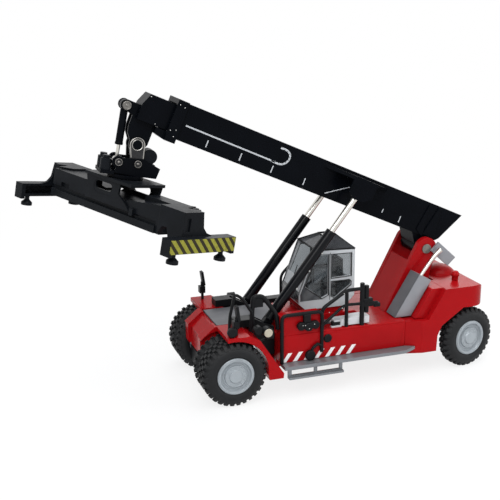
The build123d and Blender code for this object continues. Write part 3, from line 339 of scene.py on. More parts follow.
class Piece:
    """Gathers simple solids in one mesh, which then rides on a body."""

    def __init__(self, name, body, key, slot):
        self.name = name
        self.body = body
        self.key = key
        self.slot = slot
        self.bm = bmesh.new()

    def span(self, points):
        """A closed solid from the points of one outline, followed by those of the outline opposite."""
        verts = [self.bm.verts.new(p) for p in points]
        half = len(verts) // 2
        self.rings([verts[:half], verts[half:]])

    def prism(self, place, outline, depth):
        """An outline of (x, z) points, extruded along Y between two depths."""
        self.span([place.at(x, d, z) for d in depth for x, z in outline])

    def block(self, place, x, y, z):
        """A box from its two limits along each axis."""
        self.prism(place, [(x[0], z[0]), (x[1], z[0]), (x[1], z[1]), (x[0], z[1])], y)

    def stroke(self, place, line, width, depth):
        """A flat line of one width through (x, z) points."""
        for a, b in zip(line, line[1:]):
            along = (Vector(b) - Vector(a)).normalized()
            start = Vector(a) - along * STROKE_OVERLAP
            end = Vector(b) + along * STROKE_OVERLAP
            off = Vector((-along.y, along.x)) * width / 2
            self.prism(place, (start + off, end + off, end - off, start - off), depth)

    def rings(self, rings, close=False):
        """Skins a row of rings of vertices, and closes it at both ends or on itself."""
        sides = len(rings[0])
        pairs = list(zip(rings, rings[1:]))
        if close:
            pairs.append((rings[-1], rings[0]))
        for a, b in pairs:
            for k in range(sides):
                self.bm.faces.new((a[k], a[(k + 1) % sides], b[(k + 1) % sides], b[k]))
        if not close:
            self.bm.faces.new(rings[0][::-1])
            self.bm.faces.new(rings[-1])

    def tube(self, points, radius, sides=12):
        """A round tube through points of the row frame; radius is one number or one for each point."""
        n = len(points)
        radii = radius if isinstance(radius, (list, tuple)) else [radius] * n
        angles = [2 * pi * k / sides for k in range(sides)]
        rings = []
        side = None
        for i, (point, r) in enumerate(zip(points, radii)):
            ahead = (points[min(i + 1, n - 1)] - points[max(i - 1, 0)]).normalized()
            if side is None:
                side = ahead.orthogonal().normalized()
            side = (side - ahead * side.dot(ahead)).normalized()
            other = ahead.cross(side)
            spots = [point + (side * cos(a) + other * sin(a)) * r * MM for a in angles]
            rings.append([self.bm.verts.new(spot) for spot in spots])
        self.rings(rings)

    def tube_in(self, place, spots, radius, sides=12):
        """The same through points given in a frame."""
        self.tube([place.at(*spot) for spot in spots], radius, sides)

    def turned(self, place, profile, steps=24, axis="y", close=False):
        """A profile of (radius, distance along the axis) turned round one of the frame's axes."""
        angles = [2 * pi * k / steps for k in range(steps)]
        rings = []
        for r, d in profile:
            spots = [in_order(axis, r * cos(a), r * sin(a), d) for a in angles]
            rings.append([self.bm.verts.new(place.at(*spot)) for spot in spots])
        self.rings(rings, close)

    def disc(self, place, centre, radius, depth, axis="y", sides=24):
        """A round plate or short rod at (u, v, w), whose two ends lie at depths along the axis."""
        self.turned(place.moved(*centre), [(radius, depth[0]), (radius, depth[1])], sides, axis)

    def screw(self, place, centre, radius, height, out):
        """A small domed screw head standing on a face that looks along Y (out 1) or against it (-1)."""
        profile = [(radius, -0.1 * out), (radius, height * 0.5 * out), (radius * 0.6, height * out)]
        self.turned(place.moved(*centre), profile, 8)

    def done(self, bevel=0.0, smooth=40, segments=2):
        """Makes the object, with its finish and body; smooth is the angle of a sharp edge, or 0."""
        bmesh.ops.remove_doubles(self.bm, verts=self.bm.verts, dist=WELD_M)
        bmesh.ops.recalc_face_normals(self.bm, faces=self.bm.faces)
        mesh = bpy.data.meshes.new(self.name)
        self.bm.to_mesh(mesh)
        self.bm.free()
        for polygon in mesh.polygons:
            polygon.use_smooth = bool(smooth)
        obj = bpy.data.objects.new(self.name, mesh)
        bpy.context.scene.collection.objects.link(obj)
        mesh.materials.append(MATS[self.key])
        if smooth:
            mesh.set_sharp_from_angle(angle=radians(smooth))
        if bevel:
            mod = obj.modifiers.new("edges", "BEVEL")
            mod.width = bevel * MM
            mod.segments = segments
            mod.limit_method = "ANGLE"
            mod.angle_limit = BEVEL_ANGLE
        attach(obj, self.body)
        return obj


# ---- tyres
FRONT_WIDTH, TWIN_WIDTH, TWIN_GAP, REAR_WIDTH = 8.8, 4.4, 0.5, 5.6
# The outer faces of the tyres, along the wheel's axle from its joint.
FRONT_OUTER, REAR_OUTER = 5.0, 8.8
LUG_COUNT = 30
LUG_PITCH = 2 * pi / LUG_COUNT
LUG_HALF, LUG_EASE = 0.33 * LUG_PITCH, 0.06 * LUG_PITCH
# Radii of a lug: its foot in the carcass, its two corners on the side wall, and its shoulder.
LUG_FOOT_R, WALL_LOW_R, WALL_HIGH_R, SHOULDER_R = 9.6, 8.9, 9.2, 10.35
EASED_ABOVE_R = 10
# How far its corners stand in or out from the row's outer edge.
CROWN_IN, SHOULDER_IN, WALL_OUT = 0.75, 0.35, 0.35
# Each row of lugs: distance inwards from the tyre's outer face, to, is it a shoulder, offset in pitches.
WIDE_ROWS = (
    (0.75, 2.35, True, 0.0), (2.75, 4.15, False, 0.5), (4.65, 6.05, False, 0.0), (6.45, 8.05, True, 0.5),
)
TWIN_ROWS = ((0.7, 1.95, True, 0.0), (2.45, 3.7, True, 0.5))
REAR_ROWS = ((0.75, 2.1, True, 0.0), (2.4, 3.2, False, 0.5), (3.5, 4.85, True, 0.0))


def carcass(width):
    """The tyre's smooth section as (radius, distance inwards from its outer face)."""
    half = [(6.12, 0.75), (6.15, 0.45), (6.5, 0.2), (7.2, 0.06), (7.9, 0.04), (8.6, 0.2), (9.3, 0.6),
            (9.75, 1.1), (9.95, 1.8)]
    return half + [(r, width - d) for r, d in reversed(half)]


def lug_section(start, end, shoulder, width):
    """A lug's section as (radius, distance inwards); a shoulder lug reaches down the nearer side wall."""
    if not shoulder:
        return [(TYRE_R, start), (TYRE_R, end), (LUG_FOOT_R, end), (LUG_FOOT_R, start)]
    near, far, inwards = (start, end, 1) if start < width / 2 else (end, start, -1)
    return [
        (TYRE_R, far), (TYRE_R, near + inwards * CROWN_IN), (SHOULDER_R, near + inwards * SHOULDER_IN),
        (WALL_HIGH_R, near - inwards * WALL_OUT), (WALL_LOW_R, near), (LUG_FOOT_R, far),
    ]


def tyre(piece, place, outer, width, rows):
    """A tyre with its tread of staggered lugs, whose tops are eased."""
    piece.turned(place, [(r, outer - d) for r, d in carcass(width)], 96, close=True)
    for start, end, shoulder, offset in rows:
        section = lug_section(start, end, shoulder, width)
        for k in range(LUG_COUNT):
            middle = (k + offset) * LUG_PITCH
            points = []
            for way in (-1, 1):
                for r, d in section:
                    a = middle + way * (LUG_HALF - (LUG_EASE if r > EASED_ABOVE_R else 0))
                    points.append(place.at(r * cos(a), outer - d, r * sin(a)))
            piece.span(points)


# Each end: its name, its CAD nodes, and each tyre's outer face, width and rows.
TYRES = (
    ("front", "tyres_front", (
        (FRONT_OUTER, FRONT_WIDTH, WIDE_ROWS),
        (FRONT_OUTER - FRONT_WIDTH - TWIN_GAP, TWIN_WIDTH, TWIN_ROWS),
    )),
    ("rear", "tyre_rear", ((REAR_OUTER, REAR_WIDTH, REAR_ROWS),)),
)


def add_tyres():
    """Both front twin tyres and both rear tyres."""
    for side, outward in SIDES:
        for end, node, tyres in TYRES:
            body = f"wheel_{end}_{side}"
            piece = Piece(f"tyre_tread_{end}_{side}", body, "rubber", "tyre_rubber")
            for outer, width, rows in tyres:
                tyre(piece, wheel_place(body, outward), outer, width, rows)
            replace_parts(piece.done(bevel=0.09, segments=1), f"{node}_{side}")


# ---- rims
# Raised rings of a rim: radius, and distance inwards from the tyre's outer face.
RIM_RINGS = ((5.75, 0.1), (4.3, 0.88), (3.5, 0.42), (1.3, 0.09))
RIM_RING_R = 0.14
NUT_COUNT, NUT_CIRCLE_R, NUT_IN = 12, 3.0, 0.42
NUT_PROFILE = ((0.2, 0), (0.2, 0.14), (0.1, 0.2))


def add_rim_nuts():
    """Rings and a circle of small nuts on each rim."""
    for end, outer in (("front", FRONT_OUTER), ("rear", REAR_OUTER)):
        for side, outward in SIDES:
            body = f"wheel_{end}_{side}"
            place = wheel_place(body, outward)
            piece = Piece(f"rim_nuts_{end}_{side}", body, "silver", "silver_paint")
            for radius, depth in RIM_RINGS:
                ring = [place.at(u, outer - depth, w) for u, w in circle(radius, 48)]
                piece.tube(ring, RIM_RING_R, 6)
            for k in range(NUT_COUNT):
                a = 2 * pi * k / NUT_COUNT
                spot = place.moved(NUT_CIRCLE_R * cos(a), outer - NUT_IN, NUT_CIRCLE_R * sin(a))
                piece.turned(spot, NUT_PROFILE, 8)
            piece.done()


# ---- printed marks
# Stripes on the side panels: how many, the first one's lower front corner and the pitch to the next.
STRIPE_COUNT, STRIPE_X, STRIPE_PITCH, STRIPE_WIDTH, STRIPE_LEAN = 7, -17.2, 3.8, 1.45, 2.15
STRIPE_LOW, STRIPE_TOP = 11.1, 14.1
STRIPE_Y, BOOM_MARK_Y = (18.2, 18.28), (5.19, 5.23)
# Scale marks: distance along the boom from its pivot, lower and upper end above it.
BOOM_TICKS = (
    (87.45, 4.75, 6.95), (75.5, 4.65, 7.0), (63.9, 4.75, 7.05), (51.7, 4.85, 7.1), (20.4, 5.9, 7.1),
    (13.0, 4.85, 7.0),
)
BOOM_LINE = ((95.9, 8.66), (63.8, 8.4))
BOOM_HOOK = (
    (65.2, 8.35), (63.8, 8.25), (62.4, 8.25), (61.2, 8.6), (60.2, 9.4), (59.65, 10.5), (59.6, 11.6),
    (60.1, 12.6), (61.1, 13.2), (62.3, 13.4), (63.7, 13.25),
)
TICK_WIDTH, LINE_WIDTH, HOOK_WIDTH = 0.36, 0.5, 0.62


def add_marks():
    """Plain stripes on the side panels, and the scale marks along the boom."""
    for name, sign in SIDES:
        piece = Piece(f"panel_stripes_{name}", "chassis", "white", "white_plastic")
        for k in range(STRIPE_COUNT):
            x = STRIPE_X - STRIPE_PITCH * k
            top_x = x - STRIPE_WIDTH - STRIPE_LEAN
            outline = [(x, STRIPE_LOW), (x - STRIPE_WIDTH, STRIPE_LOW), (top_x, STRIPE_TOP),
                       (x - STRIPE_LEAN, STRIPE_TOP)]
            piece.prism(MACHINE, outline, depths(sign, *STRIPE_Y))
        piece.done(smooth=0)
        piece = Piece(f"boom_marks_{name}", "boom", "print_and_highlight", "white_plastic")
        depth = depths(sign, *BOOM_MARK_Y)
        for along, low, high in BOOM_TICKS:
            piece.stroke(BOOM, [(along, low), (along, high)], TICK_WIDTH, depth)
        piece.stroke(BOOM, BOOM_LINE, LINE_WIDTH, depth)
        piece.stroke(BOOM, BOOM_HOOK, HOOK_WIDTH, depth)
        piece.done(smooth=0)


def cut_at(points, limit, keep_above):
    """Cuts a flat outline at a value of its first coordinate."""
    kept = []
    for (a0, b0), (a1, b1) in zip(points, points[1:] + points[:1]):
        inside = (a0 >= limit) == keep_above
        if inside:
            kept.append((a0, b0))
        if inside != ((a1 >= limit) == keep_above):
            kept.append((limit, b0 + (b1 - b0) * (limit - a0) / (a1 - a0)))
    return kept


# The cross beam's outer face: its place, half length, and lower and upper edge.
CROSS_FACE_Y, CROSS_HALF, CROSS_LOW, CROSS_TOP = 37.9, 13.15, 3.25, 7.42
PLATE_Y = (CROSS_FACE_Y - 0.02, CROSS_FACE_Y + 0.03)
HAZARD_Y = (CROSS_FACE_Y, CROSS_FACE_Y + 0.05)
HAZARD_COUNT, HAZARD_X, HAZARD_PITCH, HAZARD_HALF, HAZARD_LEAN = 11, 17.0, 3.07, 0.7, 3.9


def add_hazard_stripes():
    """Yellow plates with dark slanting stripes on the outer face of each cross beam."""
    for body, place in (("end_left", SPREADER), ("end_right", FAR_SPREADER)):
        plate = Piece(f"hazard_plate_{body}", body, "yellow", None)
        plate.block(place, (-CROSS_HALF, CROSS_HALF), PLATE_Y, (CROSS_LOW, CROSS_TOP))
        plate.done(smooth=0)
        bars = Piece(f"hazard_stripes_{body}", body, "stripe", None)
        for k in range(HAZARD_COUNT):
            x = HAZARD_X - HAZARD_PITCH * k
            low_x = x - HAZARD_LEAN
            outline = [(x - HAZARD_HALF, CROSS_TOP), (x + HAZARD_HALF, CROSS_TOP),
                       (low_x + HAZARD_HALF, CROSS_LOW), (low_x - HAZARD_HALF, CROSS_LOW)]
            outline = cut_at(outline, -CROSS_HALF, True)
            outline = cut_at(outline, CROSS_HALF, False)
            if len(outline) > 2:
                bars.prism(place, outline, HAZARD_Y)
        bars.done(smooth=0)


# ---- hull and rails
# The side boxes: inner and outer face, front and rear end, sill, ledge, and the top of the tall part.
BOX_IN_Y, SIDE_Y, BOX_FRONT_X, BOX_BACK_X = 13.95, 18.0, -16.8, -62.0
SILL_Z, LEDGE_FRONT_Z, LEDGE_BACK_Z, TALL_TOP_Z, TALL_BACK_X = 10.9, 20.5, 20.0, 27.0, -30.9
CENTRE_HALF, CENTRE_FRONT_X, CENTRE_BACK_X = 8.6, 2.2, -70.8
CENTRE_TOP_Z, AXLE_SEAT_Z, FLOOR_Z = 22.4, 14.4, 8.0
CENTRE_OUTLINE = (
    (CENTRE_FRONT_X, CENTRE_TOP_Z), (CENTRE_FRONT_X, AXLE_SEAT_Z), (-11.0, AXLE_SEAT_Z), (-16.0, FLOOR_Z),
    (CENTRE_BACK_X, FLOOR_Z), (CENTRE_BACK_X, LEDGE_BACK_Z), (-50.0, LEDGE_BACK_Z), (-47.5, CENTRE_TOP_Z),
)
BOX_FOOT = ((BOX_BACK_X, LEDGE_BACK_Z), (BOX_BACK_X, SILL_Z), (BOX_FRONT_X, SILL_Z))
# Blocks, here and below: x, y and z, each from and to.
MIDDLE_BLOCK = ((BOX_BACK_X, BOX_FRONT_X), (-14.0, 14.0), (8.05, 19.97))
CAB_BASE = ((-43.8, -29.8), (-7.4, 7.4), (22.35, 24.4))
REAR_SPINE = ((-87.8, -70.75), (-3.6, 3.6), (14.5, 20.9))


def add_hull():
    """The hull with its tall box on the left only: on the right the ground shows above the ledge."""
    hull = Piece("hull", "chassis", "red", "red_paint")
    hull.prism(MACHINE, CENTRE_OUTLINE, (-CENTRE_HALF, CENTRE_HALF))
    hull.block(MACHINE, *MIDDLE_BLOCK)
    hull.block(MACHINE, *CAB_BASE)
    tall_top = ((BOX_FRONT_X, TALL_TOP_Z), (TALL_BACK_X, TALL_TOP_Z), (TALL_BACK_X, LEDGE_FRONT_Z))
    hull.prism(MACHINE, tall_top + BOX_FOOT, depths(1, BOX_IN_Y, SIDE_Y))
    hull.prism(MACHINE, ((BOX_FRONT_X, LEDGE_FRONT_Z),) + BOX_FOOT, depths(-1, BOX_IN_Y, SIDE_Y))
    hull.block(MACHINE, *REAR_SPINE)
    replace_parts(hull.done(bevel=0.2), "chassis_frame")


SIDE_RAIL_Y, STAIR_Y, BOW_Y, GUARD_Y = 18.72, 17.2, 16, -8.7
RAIL_R, THIN_R, STEM_R, POST_R, POST_TIP_R = 0.62, 0.5, 0.75, 0.8, 0.6
RAIL_BEND, BOW_BEND, STEM_BEND = 1.8, 1.2, 1.4
BOW_FOOT_Z = 22.5
# Rails along the left side: distance from the middle, radius, and the (x, z) corners of the route.
SIDE_RAILS = (
    (SIDE_RAIL_Y, RAIL_R, ((-17, 10.95), (-17, 27.4), (-31, 27.4), (-31, 13.4))),
    (STAIR_Y, RAIL_R, ((-31.6, 20.5), (-31.6, 27.6), (-40.4, 33), (-46, 33))),
    (STAIR_Y, THIN_R, ((-32, 22), (-39.6, 28), (-51.6, 27.6))),
    (STAIR_Y, RAIL_R, ((-40.4, 20.3), (-40.4, 33))),
)
# Posts behind the stair: x, lower and upper end.
REAR_POSTS = ((-46.0, 20.3, 35.0), (-47.6, 24.6, 34.0))
POST_TIP = 0.2
# Over the left front fender: a bow as (x, z), and the stem that carries the lamp's block.
FENDER_BOW = ((0.0, BOW_FOOT_Z), (-0.3, 28.4), (-2.1, 35.8), (-4.6, 34.0), (-8.0, 28.6), (-8.4, BOW_FOOT_Z))
LAMP_STEM = (
    (-7.6, 15.4, BOW_FOOT_Z), (-8.4, 15.4, 34.0), (-11.6, 15.4, 33.9), (-15.9, 16.4, 27.6),
    (-16.4, 16.8, BOW_FOOT_Z),
)
LAMP_BLOCK = ((-11.6, -8.3), (14.9, 15.9), (30.4, 33.6))
GUARD_BAR = ((-27.0, 22.6), (-27.0, 32.2), (-31.7, 36.8))


def add_rails():
    """Bent rails along the left side and over its front fender, and a bar at the cab's right."""
    rails = Piece("rails", "chassis", "dark", "black_plastic")
    for y, radius, route in SIDE_RAILS:
        rails.tube(bent(MACHINE, [(x, y, z) for x, z in route], RAIL_BEND), radius)
    for x, low, high in REAR_POSTS:
        post = ((x, STAIR_Y, low), (x, STAIR_Y, high - POST_TIP), (x, STAIR_Y, high))
        rails.tube_in(MACHINE, post, [POST_R, POST_R, POST_TIP_R])
    rails.tube(bent(MACHINE, [(x, BOW_Y, z) for x, z in FENDER_BOW], BOW_BEND), THIN_R)
    rails.tube(bent(MACHINE, LAMP_STEM, STEM_BEND), STEM_R)
    rails.block(MACHINE, *LAMP_BLOCK)
    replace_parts(rails.done(), "handrails")
    guard = Piece("guard_bar", "chassis", "dark", "black_plastic")
    guard.tube(bent(MACHINE, [(x, GUARD_Y, z) for x, z in GUARD_BAR], RAIL_BEND), THIN_R)
    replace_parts(guard.done(), "cab_guard")


SHOULDER_OUTLINE = ((-65.8, 19.9), (-70.2, 19.5), (-76.5, 29.85), (-72.0, 29.85))
SHOULDER_Y, SILENCER_Y = (8.8, 17.4), (8.8, 14.9)
SILENCER_FACE = ((-59.56, 20.32), (-68.36, 34.62), (-68.26, 34.68), (-59.46, 20.38))


def add_rear_fillings():
    """The red shoulders between the counterweight and the silencer, and the silencer's dark front."""
    shoulders = Piece("counterweight_shoulders", "chassis", "red", "red_paint")
    for sign in (1, -1):
        shoulders.prism(MACHINE, SHOULDER_OUTLINE, depths(sign, *SHOULDER_Y))
    shoulders.done(bevel=0.15)
    face = Piece("silencer_front", "chassis", "deck", "black_plastic")
    face.prism(MACHINE, SILENCER_FACE, SILENCER_Y)
    face.done()


# ---- details of the chassis
SIDE_PLATE = ((-17.1, 10.95), (-60.0, 10.95), (-61.5, 19.3), (-31.2, 19.8), (-30.9, 20.15), (-17.1, 20.15))
SIDE_PLATE_Y = (17.95, 18.22)
LEFT_BLOCKS = (
    # Two of the latch cluster, and those above the ledge.
    ((-26.9, -24.4), (SIDE_Y, 19.5), (24.3, 27.2)),
    ((-28.6, -23.4), (SIDE_Y, 19.3), (22.0, 24.5)),
    ((-52.7, -50.3), (15.4, 17.6), (26.0, 27.4)),
    ((-49.6, -46.2), (16.4, 18.2), (28.2, 29.6)),
    ((-50.2, -45.6), (16.7, 17.9), (26.6, 28.4)),
    ((-38.6, -35.6), (14.8, 16.6), (20.6, 22.2)),
)
RIGHT_BLOCKS = (
    ((-36.5, BOX_FRONT_X), (-16.6, -12.8), (20.1, 22.4)),
    ((-16.9, -5.0), (-13.8, -12.65), (18.0, 22.6)),
    ((-52.7, -50.3), (-17.6, -15.4), (20.1, 22.4)),
)
PALE_BOXES = (
    ((-49.0, -41.8), (12.7, 16.9), (20.6, 23.2)),
    ((-42.0, -38.7), (15.0, 16.9), (20.6, 23.0)),
    ((-38.9, -35.3), (15.6, 16.9), (20.02, 20.95)),
)
SIDE_LAMP_X, SIDE_LAMP_Z, SIDE_LAMP_R, LENS_R = -11.5, 23.3, 1.7, 1.42
SIDE_LAMP_Y, LENS_Y = (18.6, 21.2), (21.15, 21.38)
# Round plugs and lamp housings: x, z, radius, inner and outer face.
SIDE_DISCS = (
    (-28.6, 23.2, 1.4, SIDE_Y, 19.6), (-23.6, 23.2, 1.4, SIDE_Y, 19.6), (-26.1, 22.9, 1.5, SIDE_Y, 19.9),
    (-33.3, 17.6, 1.45, SIDE_Y, 18.7), (-26.9, 12.7, 1.75, 18.1, 19.6),
    (SIDE_LAMP_X, SIDE_LAMP_Z, SIDE_LAMP_R, *SIDE_LAMP_Y), (-8.5, 24.0, 1.5, 18.2, 20.6),
    (0.5, 24.9, 1.65, 20.2, 21.6),
)
# Short hoses on the side plate: the points of the route, and the radius.
SIDE_HOSES = (
    (((-27.6, 18.9, 15.0), (-29.4, 19.0, 16.4), (-31.0, 18.8, 15.6)), 0.55),
    (((-27.2, 18.9, 12.8), (-27.7, 18.9, 15.2)), 0.5),
)
SIDE_SCREWS = (
    (-24.0, 19.55, 23.6), (-24.7, 19.8, 23.65), (-28.0, 19.55, 23.6), (-26.1, 19.85, 22.4),
    (-34.0, 17.75, 26.3), (-36.6, 17.8, 29.8), (-39.2, 17.8, 32.2), (-34.4, 17.75, 23.2),
    (-38.6, 17.75, 27.2),
)
SIDE_SCREW_R = 0.16


def add_boxes(name, key, slot, rows, bevel):
    """A piece of the chassis made of plain boxes."""
    piece = Piece(name, "chassis", key, slot)
    for limits in rows:
        piece.block(MACHINE, *limits)
    piece.done(bevel=bevel)


def add_side_plate(name, sign):
    """The proud lower plate of a side box."""
    plate = Piece(f"side_plate_{name}", "chassis", "red", "red_paint")
    plate.prism(MACHINE, SIDE_PLATE, depths(sign, *SIDE_PLATE_Y))
    plate.done(bevel=0.12)


def add_left_fittings():
    """The latch cluster, plugs, lamp housings, hoses and black boxes of the left side."""
    dark = Piece("side_fittings_left", "chassis", "dark", "black_plastic")
    for limits in LEFT_BLOCKS:
        dark.block(MACHINE, *limits)
    for x, z, radius, low, high in SIDE_DISCS:
        dark.disc(MACHINE, (x, 0, z), radius, (low, high))
    for route, radius in SIDE_HOSES:
        dark.tube_in(MACHINE, route, radius)
    dark.done(bevel=0.3)


def add_left_lens():
    """The lens of the lamp on the left front fender."""
    lens = Piece("side_lamp_lens_left", "chassis", "lamp", "clear_plastic")
    lens.disc(MACHINE, (SIDE_LAMP_X, 0, SIDE_LAMP_Z), LENS_R, LENS_Y)
    lens.done(bevel=0.12)


def add_left_screws():
    """Bright screws on the latch cluster and the stair rail."""
    glint = Piece("side_screws_left", "chassis", "screw", "bright_metal")
    for spot in SIDE_SCREWS:
        glint.screw(MACHINE, spot, SIDE_SCREW_R, SCREW_HEIGHT, 1)
    glint.done()


# The cab's side wall, and the (x, z) outlines of its panes.
CAB_OUT_Y = 8.0
CAB_PANES = (
    # The lower and the upper rear pane, and the door's.
    ((-45.4, 33.4), (-39.0, 33.4), (-39.0, 28.4), (-40.3, 27.6), (-46.0, 31.6), (-46.0, 32.8)),
    ((-46.0, 34.9), (-46.0, 42.7), (-39.0, 42.9), (-39.0, 34.7)),
    ((-37.7, 29.0), (-37.7, 42.9), (-33.8, 43.1), (-29.4, 32.6), (-35.4, 28.0)),
)
GASKET_OUT, GASKET_R, SEAM_R = 0.02, 0.22, 0.1
GASKET_X_SHARE, GASKET_Z_SHARE = 1.05, 1.03
DOOR_SEAM_X, DOOR_SEAM_Z = -38.35, (27.0, 43.6)
CAB_CORNER = ((-33.7, 43.4), (-32.7, 43.4), (-27.6, 29.9), (-27.6, 27.6), (-35.3, 27.6), (-29.35, 32.55))
CAB_FRONT_PANE = (
    (-27.2, 26.9), (-27.13, 26.9), (-27.13, 29.82), (-27.46, 30.68), (-27.54, 30.66), (-27.2, 29.8),
)
CAB_PILLAR = ((-32.8, 44.5), (-27.25, 29.85), (-27.15, 29.9), (-32.7, 44.55))
CORNER_Y, FRONT_PANE_HALF, PILLAR_Y = (CAB_OUT_Y, 8.06), 7.3, (6.9, 7.75)
# The roof's rim and its raised top: rear and front edge as (x, z), and the half width.
ROOF_RIM = ((-47.3, 44.3), (-33.0, 44.9), 7.9)
ROOF_TOP = ((-42.9, 48.1), (-37.9, 48.1), 1.9)
RIM_BAR_R, SLOPE_BAR_R = 0.28, 0.2
WIPER, WIPER_R = ((-27.0, 0.6, 31.0), (-30.2, -1.2, 37.6)), 0.16
STEERING_HUB, STEERING_R, STEERING_DEPTH = (-31.4, 0, 33.2), 1.5, (-0.1, 0.1)
COLUMN_FOOT, COLUMN_R = (-31.6, 0, 31.5), 0.25
DOOR_HANDLE = ((-37.0, -36.1), (CAB_OUT_Y, 8.35), (31.2, 31.7))


def add_cab_gaskets():
    """The gaskets round the side panes, and the door's rear seam."""
    gasket = Piece("cab_gaskets", "chassis", "gasket", "black_plastic")
    for sign in (1, -1):
        y = sign * (CAB_OUT_Y + GASKET_OUT)
        for outline in CAB_PANES:
            cx = sum(x for x, z in outline) / len(outline)
            cz = sum(z for x, z in outline) / len(outline)
            loop = [MACHINE.at(cx + (x - cx) * GASKET_X_SHARE, y, cz + (z - cz) * GASKET_Z_SHARE)
                    for x, z in outline]
            gasket.tube(loop + loop[:2], GASKET_R, 6)
        gasket.tube_in(MACHINE, [(DOOR_SEAM_X, y, z) for z in DOOR_SEAM_Z], SEAM_R, 6)
    gasket.done()


def add_cab_panes():
    """Dark panes at the cab's front corners and below its windscreen, and a strip up each side of it."""
    panes = Piece("cab_low_panes", "chassis", "pane", "tinted_clear")
    for sign in (1, -1):
        panes.prism(MACHINE, CAB_CORNER, depths(sign, *CORNER_Y))
    panes.prism(MACHINE, CAB_FRONT_PANE, (-FRONT_PANE_HALF, FRONT_PANE_HALF))
    for sign in (1, -1):
        panes.prism(MACHINE, CAB_PILLAR, depths(sign, *PILLAR_Y))
    panes.done(smooth=0)


def roof_corners(rear, front, half):
    """The four corners of a level or sloping frame, in turn."""
    return [(rear[0], -half, rear[1]), (front[0], -half, front[1]), (front[0], half, front[1]),
            (rear[0], half, rear[1])]


def add_cab_roof_frame():
    """The roof's dark frame, the wiper, the steering wheel and the door's handle."""
    bars = Piece("cab_roof_frame", "chassis", "dark", "black_plastic")
    rim = roof_corners(*ROOF_RIM)
    top = roof_corners(*ROOF_TOP)
    for ring in (rim, top):
        for edge in zip(ring, ring[1:] + ring[:1]):
            bars.tube_in(MACHINE, edge, RIM_BAR_R, 8)
    for slope in zip(rim, top):
        bars.tube_in(MACHINE, slope, SLOPE_BAR_R, 8)
    bars.tube_in(MACHINE, WIPER, WIPER_R, 6)
    bars.disc(MACHINE, STEERING_HUB, STEERING_R, STEERING_DEPTH, "z")
    bars.tube_in(MACHINE, (STEERING_HUB, COLUMN_FOOT), COLUMN_R, 8)
    bars.block(MACHINE, *DOOR_HANDLE)
    bars.done(bevel=0.05)


# The tailpipe's (x, z) route, its distance from the middle, and its radius before and at its end.
TAILPIPE = (
    (-70.6, 32.2), (-71.5, 33.4), (-72.9, 35.3), (-74.2, 37.1), (-75.5, 38.7), (-76.9, 40.2), (-78.4, 41.4),
)
TAILPIPE_Y, TAILPIPE_R, FLARE_R = 11.0, 0.75, 0.95


def add_tailpipe():
    """A smoothly bent tailpipe with its flared end."""
    pipe = Piece("tailpipe", "chassis", "nickel", "bright_metal")
    radii = [TAILPIPE_R] * (len(TAILPIPE) - 1) + [FLARE_R]
    pipe.tube_in(MACHINE, [(x, TAILPIPE_Y, z) for x, z in TAILPIPE], radii, 20)
    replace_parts(pipe.done(), "exhaust_pipe")


# ---- details of the boom, head and yoke
GUSSET = ((4.3, 14.35), (5.45, 4.97), (2.29, 3.02), (2.5, 5.59))
GUSSET_Y = (5.15, 5.6)
# The painted highlight along the bracket's edge, a grey line on the black boom: its lower front and upper
# rear end on the left, as (along, out, above).
BRACKET_HIGHLIGHT_LINE, BRACKET_HIGHLIGHT_R = ((43.3, 5.4, 4.9), (31.6, 7.6, 13.1)), 0.16
# Screws on the collar and the gooseneck: distance along the boom and above its pivot.
COLLAR_SCREWS = ((98.5, 6.2), (100.2, 5.6), (98.6, 4.1), (98.4, 13.6), (100.1, 13.9))
NECK_SCREWS = ((104.9, 5.6), (109.0, 12.9))
COLLAR_Y, NECK_Y = 5.8, 4.05
BOOM_SCREW_R = 0.17
RIVET_X, RIVET_OUT, RIVET_R = (9.9, 17.0, 24.1, 31.2), 1.24, 0.26
# The damper's sleeve and the gland at its end: radius, and distance along the damper.
SLEEVE = ((0.62, 0.6), (1.1, 0.75), (1.17, 1.1), (1.17, 11.6), (1.26, 11.7), (1.26, 12.3), (0.62, 12.4))


def add_boom_plates():
    """The dark gussets at the boom's tail, and a grey line painted as the highlight along the edge of each
    cylinder bracket.
    """
    plates = Piece("boom_plates", "boom", "black", "black_paint")
    # A grey line painted as the highlight along each bracket's edge.
    edges = Piece("bracket_painted_highlights", "boom", "print_and_highlight", "black_paint")
    for sign in (1, -1):
        plates.prism(BOOM, GUSSET, depths(sign, *GUSSET_Y))
        edges.tube_in(BOOM, [(x, sign * y, z) for x, y, z in BRACKET_HIGHLIGHT_LINE], BRACKET_HIGHLIGHT_R, 8)
    plates.done(smooth=20)
    edges.done()


def add_screws(name, body, spots, y):
    """Bright screws on both sides of a piece of the boom."""
    piece = Piece(name, body, "screw", "bright_metal")
    for sign in (1, -1):
        for along, above in spots:
            piece.screw(BOOM, (along, sign * y, above), BOOM_SCREW_R, SCREW_HEIGHT, sign)
    piece.done()


def add_barrel_rivets():
    """Rivets down each lift cylinder."""
    for side, sign in SIDES:
        piece = Piece(f"barrel_rivets_{side}", f"lift_barrel_{side}", "screw", "bright_metal")
        for x in RIVET_X:
            spot = (x, sign * RIVET_OUT, RIVET_OUT)
            piece.disc(LIFT[side], spot, RIVET_R, (-RIVET_R, RIVET_R), sides=8)
        piece.done()


def add_damper():
    """A sleeve round the damper's barrel, with its gland."""
    piece = Piece("damper_sleeve", "damper_barrel", "black", "black_paint")
    piece.turned(DAMPER, SLEEVE, 32, "x")
    piece.done()


# The link plates' outer face, and on it the rim round the tilting pin with its two legs.
LINK_FACE_Y, LINK_RIM_R, LINK_LEGS_X, LINK_FOOT_Z = 2.95, 2.25, (1.5, -2.35), -4.0
LINK_RIM_THICK, TILT_RING_R, TILT_RING_THICK, TILT_RING_OUT = 0.2, 1.65, 0.17, 0.02
LINK_ARC = range(-8, 189, 14)
TILT_HEAD_R, TILT_HEAD_Y = 1.42, (2.8, 3.0)
